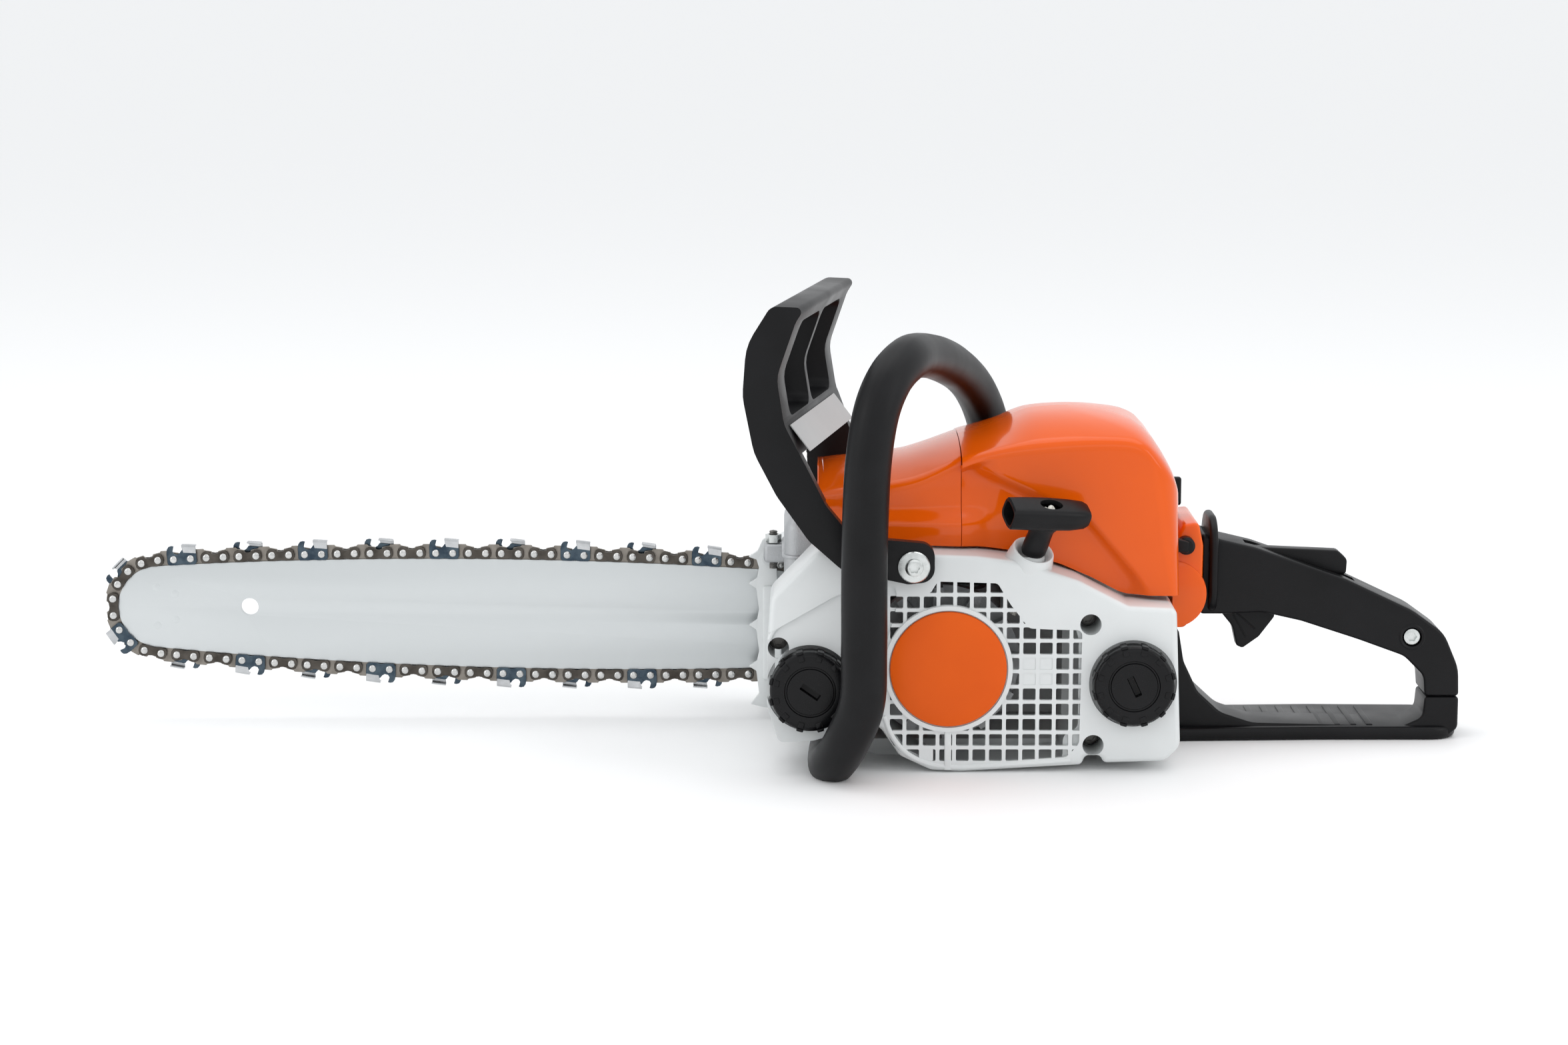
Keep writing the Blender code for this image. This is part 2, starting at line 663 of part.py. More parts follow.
def fan_outline():
    return rounded(
        [(-9, 66, 4), (-9, 36, 8), (-3, 16, 4), (16, 17, 4), (50, 27, 8), (62, 9, 8), (79, 1, 8),
            (95, -0.0, 3)]
        + [(160, 4, 3), (162, 9, 3), (170, 9, 3), (172, 5, 3), (205, 6, 8), (213, 14, 8), (210, 89.5, 4),
          (184, 91, 4)]
        + [(157, 105, 12), (126, 115, 20), (103, 118, 8), (18, 121, 8), (-7, 95, 8)]
    )


def make_fan_housing():
    cover = plate("fan_housing", [fan_outline()], FAN_FACE_Y, FAN_BACK_Y)
    inside = rounded(
        [(-5, 66, 4), (-5, 38, 6), (1, 20, 4), (20, 21, 4), (52, 31, 8), (66, 12, 8), (80, 5, 8),
            (96, 4, 3)]
        + [(150, 7, 3), (150, 20, 6), (158, 24, 4), (158, 72, 6), (150, 100, 8), (124, 110, 12),
          (102, 113, 6)]
        + [(82, 113, 3), (78, 103, 3), (60, 103, 3), (56, 116, 3), (24, 116, 8), (-3, 92, 8)]
    )
    hollow = plate("fan_room_cutter", [inside], FAN_FACE_Y + 2.6, FAN_BACK_Y + 5)
    slots = []
    for row in range(7):
        z = 14.0 + row * 13.0
        right = 146.0 if z < 80.0 else 112.0
        half = math.sqrt(max(0.0, 34.5**2 - (z + 4 - 57.0) ** 2))
        spans = [(62.0, 88.0 - half), (88.0 + half, right)] if half > 8 else [(72.0, right)]
        for part, (left, end) in enumerate(spans):
            if end - left > 8:
                slots.append(block(f"grille_slot_{row}_{part}", (left, -110.0, z), (end, -90.0, z + 8.5)))
    necks = [
        bore(name + "_neck_hole", spot, NECK_RADIUS + GAP, -110.0, -40.0, count=28)
        for name, spot in (("oil", OIL_CAP), ("fuel", FUEL_CAP))
    ]
    seats = [
        screw_bore(f"screw_room_{spot[0]:.0f}", spot, -110.0, 5.6, FAN_BACK_Y - 17.0, 2.8, -50.0)
        for spot in FAN_SCREWS
    ]
    axle = rod("starter_axle", (CRANK_X, CRANK_Z), 5.0, FAN_FACE_Y + 1.0, -81.5, count=16)
    guard_hole = bore("guard_screw_hole", GUARD_PIVOT, 3.3, -110.0, -60.0, count=16)
    cap_rooms = [
        bore(name + "_cap_room", spot, CAP_RADIUS + 1.0, -110.0, FAN_FACE_Y + 4.3, count=32)
        for name, spot in (("oil", OIL_CAP), ("fuel", FUEL_CAP))
    ]
    rope_hole = rod("rope_hole_cutter", ROPE_EXIT, 6.5, 80.0, 130.0, "Z", 14)
    cut(cover, hollow, *slots, *cap_rooms, *necks, *seats, guard_hole)
    join(cover, axle)
    paint(cut(cover, rope_hole), PALE_GREY, 0.4)


def make_fan_screws():
    names = ("fan_screw_rear_top", "fan_screw_front", "fan_screw_rear_low")
    for name, (x, z) in zip(names, FAN_SCREWS):
        seat = FAN_BACK_Y - 17.0 - GAP
        profile = [(0, 0), (2.5, 0), (2.5, -12.0), (5.0, -12.0), (5.0, -16.0), (3.0, -16.0), (2.0, -14.0),
            (0, -14.0)]
        origin = (x, seat + 12.0, z)
        paint(turned(name, profile, origin, "Y", 12), STEEL, 0.35, 1.0)


def make_badge():
    badge = rod("starter_badge", (88.0, 57.0), 31.3, FAN_FACE_Y - 3.0, FAN_FACE_Y - GAP, count=40)
    paint(soften(badge, 0.6, 1), ORANGE, 0.35)


def make_starter():
    centre = (CRANK_X, -91.0, CRANK_Z)
    spring = [(26.0, 2.0), (26.0, -2.2), (8.0, -2.2), (8.0, 2.0)]
    paint(turned("rewind_spring", spring, centre, "Y", 28, ring=True), STEEL, 0.3, 1.0)
    rotor = [(30.0, 8.8), (30.0, 7.0), (22.0, 6.2), (22.0, 5.0), (30.0, 4.2), (30.0, 2.4), (5.4, 2.4),
        (5.4, 8.8)]
    paint(turned("rope_rotor", rotor, centre, "Y", 28, ring=True), BLACK, 0.5)
    rope = smooth_path(
        [(123.0, -84.6, 84.0), (126.5, -84.5, 93.0), (129.2, -84.2, 104.0), (130.6, -85.2, 110.0),
            (132.0, -87.6, 116.0)]
    )
    paint(tube("starter_rope", rope, 1.7, 2), (0.7, 0.68, 0.62), 0.8)


def make_starter_grip():
    foot = GRIP_FOOT
    stem = tube("starter_grip", [foot, foot + PULL * 8, foot + PULL * 17, foot + PULL * 21.8],
        6.6, 3, origin=tuple(foot))
    bar_centre = foot + PULL * 27.0
    bm = bmesh.new()
    bmesh.ops.create_cube(bm, size=1.0, matrix=Matrix.Diagonal((46.0, 16.5, 13.5, 1.0)))
    bmesh.ops.bevel(bm, geom=bm.edges[:], offset=2.5, segments=2, profile=0.5, affect="EDGES")
    side = Vector((0.93, 0.35, -0.095))
    side = (side - PULL * side.dot(PULL)).normalized()
    depth = PULL.cross(side)
    turn = Matrix((side, depth, PULL)).transposed().to_4x4()
    bmesh.ops.transform(bm, matrix=Matrix.Translation(bar_centre) @ turn, verts=bm.verts)
    cross_bar = solid("grip_bar", bm)
    bm = bmesh.new()
    bmesh.ops.create_cube(bm, size=1.0, matrix=Matrix.Diagonal((60.0, 10.5, 7.5, 1.0)))
    bmesh.ops.transform(bm, matrix=Matrix.Translation(bar_centre) @ turn, verts=bm.verts)
    hollow = solid("grip_hollow_cutter", bm)
    paint(cut(join(stem, cross_bar), hollow), BLACK, 0.55)


def make_caps():
    for name, spot in (("oil_cap", OIL_CAP), ("fuel_cap", FUEL_CAP)):
        outline = []
        for knob in range(12):
            for share, radius in ((0.0, CAP_RADIUS), (0.18, CAP_RADIUS), (0.26, CAP_RADIUS - 1.0),
                (0.92, CAP_RADIUS - 1.0)):
                angle = math.tau * (knob + share) / 12
                outline.append((spot[0] + radius * math.cos(angle), spot[1] + radius * math.sin(angle)))
        cap = plate(name, [outline], FAN_FACE_Y - 9.5, FAN_FACE_Y + 1.7, origin=(spot[0],
            FAN_FACE_Y, spot[1]))
        plug = rod(name + "_plug", spot, 14.0, FAN_FACE_Y + 1.0, FAN_FACE_Y + 16.0, count=24)
        groove = plate(
            name + "_ring_cutter", [circle(spot, 13.6, 28), circle(spot, 12.6, 28)[::-1]],
            -120.0, FAN_FACE_Y - 8.5
        )
        slot = block(name + "_slot_cutter", (spot[0] - 5.5, -120.0, spot[1] - 1.8),
            (spot[0] + 5.5, FAN_FACE_Y - 4.5, spot[1] + 1.8))
        paint(cut(join(cap, plug), groove, slot), BLACK, 0.45)


def shroud_shape(name, side_outline, end_outline, x_low, x_high, y_low, y_high):
    side = plate(name, [rounded(side_outline)], y_low, y_high)
    end = plate(name + "_end", [rounded(end_outline)], x_low, x_high, axis="X")
    return keep_common(side, end)


def make_cylinder_shroud():
    outer = shroud_shape(
        "cylinder_shroud",
        [(19, 122.5, 2), (95.5, 119.3, 2), (95.5, 174, 2), (60, 164, 20), (19, 158, 6)],
        [(-76, 100, 0), (-76, 160, 24), (-40, 174.5, 26), (16, 174.5, 26), (40.5, 160, 24), (40.5, 100, 0)],
        10.0, 100.0, -76.0, 40.5,
    )
    inner = shroud_shape(
        "shroud_room_cutter",
        [(10, 90, 0), (100, 90, 0), (100, 171, 2), (60, 160.5, 20), (10, 153, 6)],
        [(-73, 90, 0), (-73, 157, 22), (-40, 171, 24), (16, 171, 24), (37.5, 157, 22), (37.5, 90, 0)],
        5.0, 110.0, -73.0, 37.5,
    )
    paint(cut(outer, inner), ORANGE, 0.2)


def make_filter_cover():
    outer = shroud_shape(
        "filter_cover",
        [(96, 119.6, 2), (104, 119, 4), (128, 116, 16), (160, 106, 16), (184, 93, 8), (210, 92.3, 3)]
        + [(213.5, 130, 8), (211, 178, 24), (186, 189, 20), (138, 189, 24), (118, 179, 18), (96, 173.5, 3)],
        [(-76, 80, 0), (-76, 166, 26), (-40, 189, 30), (16, 189, 30), (40.5, 166, 26), (40.5, 80, 0)],
        90.0, 220.0, -76.0, 40.5,
    )
    inner = shroud_shape(
        "filter_room_cutter",
        [(99, 70, 0), (207, 70, 0), (210, 130, 8), (207.5, 175, 22), (186, 186, 20), (138, 186, 22),
            (118, 176, 16)]
        + [(99, 171, 3)],
        [(-73, 70, 0), (-73, 164, 24), (-40, 186, 28), (16, 186, 28), (37.5, 164, 24), (37.5, 70, 0)],
        97.0, 215.0, -73.0, 37.5,
    )
    lock_hole = bore("lock_hole", (0.0, 138.0), 4.5, 200.0, 230.0, "X", 16)
    shared_wall = block("front_opening_cutter", (90.0, -69.0, 70.0), (105.0, 33.0, 160.0))
    paint(cut(outer, inner, lock_hole, shared_wall), ORANGE, 0.2)


def make_twist_lock():
    stem = rod("twist_lock", (0.0, 138.0), 4.0, 205.0, 216.5, "X", 16, origin=(213.0, 0.0, 138.0))
    head = rod("lock_head", (0.0, 138.0), 9.0, 214.3, 217.0, "X", 20)
    wing = block("lock_wing", (216.0, -2.4, 130.0), (221.5, 2.4, 146.0), 1.0)
    paint(join(stem, head, wing), BLACK, 0.5)


def make_intake():
    filter_block = block("air_filter", (168.0, -44.0, 106.0), (202.0, 30.0, 158.0), 4.0)
    paint(filter_block, (0.75, 0.73, 0.66), 0.9)
    carb = block("carburetor", (128.0, -34.0, 90.0), (160.0, 8.0, 124.0), 3.0)
    spindle = bore("throttle_bore", (150.0, 112.0), 2.6, -60.0, 20.0, count=12)
    venturi = bore("venturi", (CYLINDER_Y, 107.0), 8.0, 120.0, 170.0, "X", 20)
    paint(cut(carb, venturi, spindle), CAST, 0.5, 1.0)
    shaft = rod("throttle_shaft", (150.0, 112.0), 2.3, -41.0, 11.0, count=12)
    arm = plate("throttle_arm", [rounded([(147, 109, 2), (153, 109, 2), (155, 126, 2), (150, 126, 2)])],
        -41.0, -38.5)
    paint(join(shaft, arm), STEEL, 0.3, 1.0)


def make_muffler():
    box = block("muffler", (0.0, -34.0, 84.0), (52.0, 34.0, 128.0), 7.0)
    flange = block("muffler_lug", (-11.5, 17.0, 94.0), (8.0, 31.0, 104.5), 2.0)
    hole = bore("muffler_lug_hole", MUFFLER_STUD, 2.8, 84.5, 120.0, "Z", 12)
    paint(cut(join(box, flange), hole), CAST, 0.5, 1.0)
    stud = rod("muffler_stud", MUFFLER_STUD, 2.4, 90.0, 112.0, "Z", 12)
    paint(stud, DARK_STEEL, 0.5, 1.0)
    nut = plate("muffler_nut", [hexagon(MUFFLER_STUD, 8.0), circle(MUFFLER_STUD, 2.7, 12)[::-1]],
        104.9, 109.5, "Z")
    paint(nut, BRIGHT, 0.3, 1.0)


# ---------------------------------------------------------------- bar mounting


def make_bumper_spike():
    teeth = []
    for tip_z in (98.0, 84.5, 71.0, 57.5, 44.0, 30.5, 17.0):
        teeth += [(-14.0, tip_z + 2.5), (-20.0, tip_z), (-13.0, tip_z - 8.5)]
    outline = [(-4.0, 105.0), (-12.0, 105.0), *teeth, (-11.0, 7.0), (-4.0, 7.0)]
    spike = plate("bumper_spike", [outline], 34.0, 38.0)
    foot = block("spike_foot", (-12.0, 30.0, 24.0), (-1.4, 38.0, 78.0))
    screw_way = bore("tension_screw_way", (36.5, 46.0), 3.2, -30.0, -1.0, "X", 12)
    paint(cut(join(spike, foot), screw_way), PALE_GREY, 0.45)


def make_bar_mounting():
    spot = on_bar(BAR_STUD_AT, 0.0)
    stud = rod("bar_stud", spot, 4.0, 32.6, 72.0, count=16)
    paint(stud, STEEL, 0.3, 1.0)
    nut = plate("bar_nut", [hexagon(spot, 18.5, 10.0), circle(spot, 4.3, 16)[::-1]], 60.9, 70.0)
    paint(soften(nut, 0.5, 1), STEEL, 0.3, 1.0)
    catcher = block("chain_catcher", (0.0, 40.4, 6.0), (14.0, 49.5, 13.5), 1.5)
    paint(catcher, CAST, 0.45, 1.0)
    screw = rod("tension_screw", (36.5, 46.0), 2.5, -8.0, -1.4, "X", 12)
    paint(screw, STEEL, 0.35, 1.0)


def make_sprocket_cover():
    outline = rounded(
        [(-16, 16, 6), (10, 9, 6), (118, 9, 10), (142, 24, 14), (142, 78, 14), (128, 90, 8),
            (60, 102, 20), (0, 101, 10)]
        + [(-16, 90, 8)]
    )
    cover = plate("sprocket_cover", [outline], 50.0, 92.0)
    soften(cover, 5.0, 2, 60)
    inner = rounded(
        [(-20, 20, 0), (12, 13, 6), (117, 13, 9), (138, 26, 12), (138, 76, 12), (126, 86.5, 8),
            (60, 98, 18), (0, 97, 8)]
        + [(-20, 88, 0)]
    )
    room = plate("cover_room_cutter", [inner], 40.0, 88.0)
    spot = on_bar(BAR_STUD_AT, 0.0)
    boss = rod("clamp_boss", spot, 16.0, BAR_Y + BAR_THICKNESS / 2 + GAP, 90.0, count=24)
    nut_seat = bore("nut_seat", spot, 13.0, 60.6, 110.0)
    stud_hole = bore("cover_stud_hole", spot, 4.4, 30.0, 110.0, count=16)
    vents = [
        block(f"cover_vent_{k}", (104.0 + k * 9.0, 84.0, 30.0),
            (108.5 + k * 9.0, 100.0, 66.0)) for k in range(3)
    ]
    cut(cover, room)
    join(cover, boss)
    paint(cut(cover, nut_seat, stud_hole, *vents), PALE_GREY, 0.4)


# ---------------------------------------------------------------- handles and controls


def make_front_handle():
    route = [
        (26.0, -56.0, 4.0), (25.0, -84.0, 4.0), (26.0, -112.0, 9.0), (33.0, -129.0, 24.0),
        (41.0, -135.0, 46.0),
        (42.0, -135.5, 75.0), (42.0, -135.5, 110.0), (42.5, -135.5, 145.0), (44.0, -135.0, 175.0),
        (48.0, -132.0, 200.0), (55.0, -122.0, 216.0), (64.0, -102.0, 223.5), (72.0, -70.0, 222.5),
        (84.0, -30.0, 216.0), (97.0, 8.0, 205.0), (108.0, 38.0, 190.0), (116.0, 56.0, 170.0),
        (120.0, 60.5, 145.0), (120.0, 60.5, 118.0), (120.0, 60.5, 96.0),
    ]
    handle = tube("front_handle", smooth_path(route, 2), TUBE_RADIUS, 3)
    ground = block("ground_cutter", (-40.0, -170.0, -30.0), (90.0, 0.0, 0.0))
    screw_hole = bore("handle_screw_hole", (120.0, 103.0), 3.2, 40.0, 90.0, count=12)
    paint(cut(handle, ground, screw_hole), BLACK, 0.6)


def make_hand_guard():
    outer = [(-7, 253, 6), (-20, 232, 30), (-22, 205, 30), (-16, 175, 30), (-4, 152, 20), (13, 128, 12),
        (31, 112, 12)]
    outer += [(66, 104.5, 6), (80, 106, 8), (80, 126, 8), (66, 127.5, 4), (36, 130, 10), (22, 147, 12),
        (13, 165, 10)]
    outer += [(0, 190, 20), (-4, 215, 20), (6, 244, 10), (11, 252, 4)]
    origin = (GUARD_PIVOT[0], 0.0, GUARD_PIVOT[1])
    guard = plate("hand_guard", [rounded(outer)], GUARD_NEAR_Y, GUARD_FAR_Y, origin=origin)
    for corner in guard.data.vertices:
        height = corner.co.z / MM + GUARD_PIVOT[1]
        rise = min(1.0, max(0.0, (height - 125.0) / 45.0))
        corner.co.x += GUARD_SLANT * rise * (corner.co.y - GUARD_NEAR_Y * MM)
    between = plate(
        "guard_arm_gap_cutter",
        [[(-60, 60), (110, 60), (110, GUARD_PANEL_FOOT), (-60, GUARD_PANEL_FOOT)]],
        GUARD_NEAR_Y + 7.5,
        GUARD_FAR_Y - 7.5,
    )
    windows = [
        block("guard_window_near_cutter", (-60.0, -88.0, 192.0), (60.0, -31.0, 243.0)),
        block("guard_window_far_cutter", (-60.0, -25.0, 192.0), (60.0, 32.0, 243.0)),
    ]
    pivot = bore("guard_pivot_bore", GUARD_PIVOT, 4.4, -130.0, 70.0, count=16)
    cut(guard, between, *windows, pivot)
    for step in guard.modifiers:
        step.solver = "MANIFOLD"
    paint(guard, BLACK, 0.55)
    profile = [(0, -82.0), (3.0, -82.0), (3.0, -98.4), (4.0, -98.4), (4.0, -107.4), (8.5, -107.4),
        (8.5, -110.5)]
    profile += [(4.0, -111.5), (2.6, -111.5), (2.6, -108.5), (0, -108.5)]
    paint(turned("guard_pivot_screw", profile, origin, "Y", 16), BRIGHT, 0.25, 1.0)


def make_rear_handle():
    top = [(231.5, 117, 2), (243, 113, 6), (262, 108.5, 20), (312, 91, 20), (350, 73, 20), (368, 60, 20)]
    top += [(376.5, 40, 24), (377, 24.3, 0)]
    under = [(358, 24.3, 0), (357, 36, 8), (346, 47, 12), (320, 56.5, 20), (288, 67, 12), (266, 72, 16),
        (243, 71, 6)]
    under += [(231.5, 71, 2)]
    grip = plate("rear_handle_grip", [rounded(top + under)], -GRIP_HALF_WIDTH, GRIP_HALF_WIDTH)
    soften(grip, 6.0, 1, 50)
    flange = plate(
        "grip_flange",
        [rounded([(-25, 72, 14), (25, 72, 14), (25, 126, 18), (-25, 126, 18)])],
        235.7,
        240.3,
        axis="X",
    )
    trigger_room = block("trigger_room_cutter", (243.5, -SLOT_HALF, 40.0), (284.0, SLOT_HALF - 0.2, 93.0))
    lockout_room = plate(
        "lockout_room_cutter",
        [[(257, 91), (281, 84.5), (319, 79), (319, 125), (257, 125)]],
        -SLOT_HALF,
        SLOT_HALF,
    )
    screw_room = screw_bore("handle_screw_room", (350.0, 58.0),
        -30.0, 5.2, -GRIP_HALF_WIDTH + 4.0, 2.7, 9.0)
    paint(cut(join(grip, flange), trigger_room, lockout_room, screw_room), BLACK, 0.6)
    profile = [(0, 8.0), (2.3, 8.0), (2.3, -12.3), (4.8, -12.3), (4.8, -15.3), (2.6, -15.3), (2.6, -13.0),
        (0, -13.0)]
    paint(turned("rear_handle_screw", profile, (350.0, 0.0, 58.0), "Y", 12), BRIGHT, 0.3, 1.0)

    loop = [(213.3, 0, 0), (370, 0, 6), (377, 6, 5), (377, 24, 0), (358, 24, 0), (357, 12, 6), (346, 7, 8)]
    loop += [(262, 9, 20), (244, 15, 14), (231, 27, 12), (223, 44, 12), (220, 62, 2), (213.3, 62, 0)]
    base = plate("rear_handle_base", [rounded(loop)], -GRIP_HALF_WIDTH, GRIP_HALF_WIDTH)
    foot = plate("handle_foot_plate", [rounded([(213.3, -24, 0), (300, -20, 30), (377, -20, 16),
        (377, 42, 20), (300, 44, 30), (213.3, 40, 0)])], 0.0, 7.5, axis="Z")
    paint(join(base, foot), BLACK, 0.6)


def make_neck():
    neck = plate(
        "handle_neck",
        [rounded([(214.2, 66, 2), (222, 66, 4), (231, 84, 12), (231.2, 112, 10), (228.5, 125, 3),
            (220, 124, 3), (214.2, 112, 2)])],
        -30.0,
        30.0,
    )
    paint(soften(neck, 3.0, 2), ORANGE, 0.25)


def make_controls():
    pivot_x, pivot_z = TRIGGER_PIVOT
    outline = rounded(
        [(244.5, 84, 2), (244.5, 70, 3), (251, 62, 8), (253.5, 51, 2), (257, 49.5, 2), (266, 56, 4),
            (275, 68, 3)]
        + [(272, 74, 3), (256, 91, 3), (246, 91, 3)]
    )
    trigger = plate("throttle_trigger", [outline], -4.8, 4.8, origin=(pivot_x, 0.0, pivot_z))
    paint(soften(trigger, 0.8, 1), BLACK, 0.5)
    pivot_x, pivot_z = LOCKOUT_PIVOT
    outline = rounded(
        [(258.5, 94, 2), (258.5, 104, 2), (263, 107, 3), (309, 105, 4), (314.5, 100, 4), (314, 91.5, 2),
            (300, 91.5, 4)]
        + [(286, 96, 6), (270, 94, 2)]
    )
    lockout = plate("trigger_lockout", [outline], -4.8, 4.8, origin=(pivot_x, 0.0, pivot_z))
    paint(soften(lockout, 0.8, 1), BLACK, 0.5)
    lever = rod("master_control_lever", (221.0, 113.0), 5.0, -37.5, -30.6, count=16)
    arm = plate("lever_arm", [rounded([(214.5, 110.5, 2), (222, 110, 1), (222, 116, 1), (215, 118, 2)])],
        -41.5, -35.0)
    paint(join(lever, arm), BLACK, 0.5)


def main():
    make_engine_housing()
    make_cylinder()
    make_crank()
    make_piston_and_rod()
    make_ignition()
    make_flywheel()
    make_clutch()
    make_oil_pump()
    make_fan_housing()
    make_fan_screws()
    make_badge()
    make_starter()
    make_starter_grip()
    make_caps()
    make_cylinder_shroud()
    make_filter_cover()
    make_twist_lock()
    make_intake()
    make_muffler()
    make_guide_bar()
    make_nose_sprocket()
    make_saw_chain()
    make_bumper_spike()
    make_bar_mounting()
    make_sprocket_cover()
    make_front_handle()
    make_hand_guard()
    make_rear_handle()
    make_neck()
    make_controls()


main()
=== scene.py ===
"""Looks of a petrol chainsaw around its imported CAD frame: finishes, detailed casings, saw chain,
handles, caps and screws. Design lengths are millimetres, moved into the frame by FRAME_SHIFT."""

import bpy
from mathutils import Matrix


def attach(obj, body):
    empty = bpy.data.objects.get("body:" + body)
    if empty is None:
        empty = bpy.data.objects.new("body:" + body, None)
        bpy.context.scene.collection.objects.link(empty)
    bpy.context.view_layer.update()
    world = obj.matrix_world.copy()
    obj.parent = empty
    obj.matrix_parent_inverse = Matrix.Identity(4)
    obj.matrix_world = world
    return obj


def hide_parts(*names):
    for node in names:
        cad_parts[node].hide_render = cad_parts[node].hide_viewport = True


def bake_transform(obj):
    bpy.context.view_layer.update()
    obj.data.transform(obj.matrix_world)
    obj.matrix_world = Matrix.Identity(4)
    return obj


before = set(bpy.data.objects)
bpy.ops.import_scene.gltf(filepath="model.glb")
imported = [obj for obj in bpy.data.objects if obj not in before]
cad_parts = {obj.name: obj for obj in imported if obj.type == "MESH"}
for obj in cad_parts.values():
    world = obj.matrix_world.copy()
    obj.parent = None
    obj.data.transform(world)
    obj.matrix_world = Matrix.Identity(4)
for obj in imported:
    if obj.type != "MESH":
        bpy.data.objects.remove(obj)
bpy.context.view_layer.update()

import math

import bmesh
import bpy
from mathutils import Matrix, Vector

MM = 0.001
FRAME_SHIFT = Vector((5.9, 27.96, 0.0))
BODY = "engine_unit"
FINISHES = {}

# ---------------------------------------------------------------- camera, floor and light


def set_camera():
    lens = bpy.data.cameras.new("studio_camera")
    lens.lens = 85.0
    lens.sensor_width = 36.0
    lens.clip_end = 100.0
    camera = bpy.data.objects.new("studio_camera", lens)
    camera.location = (0.0059, -2.012, 0.460)
    camera.rotation_euler = (math.radians(90.0 - 9.46), 0.0, 0.0)
    bpy.context.scene.collection.objects.link(camera)
    bpy.context.scene.camera = camera


def set_floor():
    bm = bmesh.new()
    bmesh.ops.create_grid(bm, x_segments=8, y_segments=8, size=40.0)
    mesh = bpy.data.meshes.new("studio_floor")
    bm.to_mesh(mesh)
    bm.free()
    floor = bpy.data.objects.new("studio_floor", mesh)
    bpy.context.scene.collection.objects.link(floor)
    white = bpy.data.materials.new("studio_floor_paint")
    white.use_nodes = True
    shader = white.node_tree.nodes["Principled BSDF"]
    shader.inputs["Base Color"].default_value = (0.93, 0.93, 0.93, 1.0)
    shader.inputs["Roughness"].default_value = 0.6
    shader.inputs["Specular IOR Level"].default_value = 0.2
    mesh.materials.append(white)


def add_softbox(name, place, aim, size, power, colour=(1.0, 1.0, 1.0)):
    light = bpy.data.lights.new(name, "AREA")
    light.shape = "RECTANGLE"
    light.size, light.size_y = size
    light.energy = power
    light.color = colour
    box = bpy.data.objects.new(name, light)
    box.location = place
    box.rotation_euler = (Vector(aim) - Vector(place)).to_track_quat("-Z", "Y").to_euler()
    bpy.context.scene.collection.objects.link(box)


def set_light():
    bpy.context.scene.view_settings.view_transform = "Standard"
    world = bpy.data.worlds.new("studio_air")
    bpy.context.scene.world = world
    world.use_nodes = True
    air = world.node_tree.nodes["Background"]
    air.inputs["Color"].default_value = (0.97, 0.985, 1.0, 1.0)
    air.inputs["Strength"].default_value = 0.97
    middle = (0.0, 0.0, 0.1)
    add_softbox("overhead_softbox", (0.1, 0.25, 1.9), (0.05, 0.0, 0.1), (2.6, 1.3), 12.0)
    add_softbox("left_softbox", (-2.0, -1.3, 1.2), middle, (1.0, 1.4), 8.0)
    add_softbox("right_softbox", (2.0, -1.0, 1.1), middle, (0.9, 1.4), 6.0)
    add_softbox("front_fill", (0.3, -2.8, 1.6), middle, (2.2, 0.8), 3.0)


# ---------------------------------------------------------------- finishes


def link_noise(tree, place, scale, detail, stretch=(1.0, 1.0, 1.0)):
    spread = tree.nodes.new("ShaderNodeMapping")
    spread.inputs["Scale"].default_value = stretch
    tree.links.new(place.outputs["Object"], spread.inputs["Vector"])
    noise = tree.nodes.new("ShaderNodeTexNoise")
    noise.inputs["Scale"].default_value = scale
    noise.inputs["Detail"].default_value = detail
    tree.links.new(spread.outputs["Vector"], noise.inputs["Vector"])
    return noise


def link_range(tree, source, low, high, near=0.3, far=0.7):
    span = tree.nodes.new("ShaderNodeMapRange")
    for name, value in (("From Min", near), ("From Max", far), ("To Min", low), ("To Max", high)):
        span.inputs[name].default_value = value
    tree.links.new(source, span.inputs["Value"])
    return span.outputs["Result"]


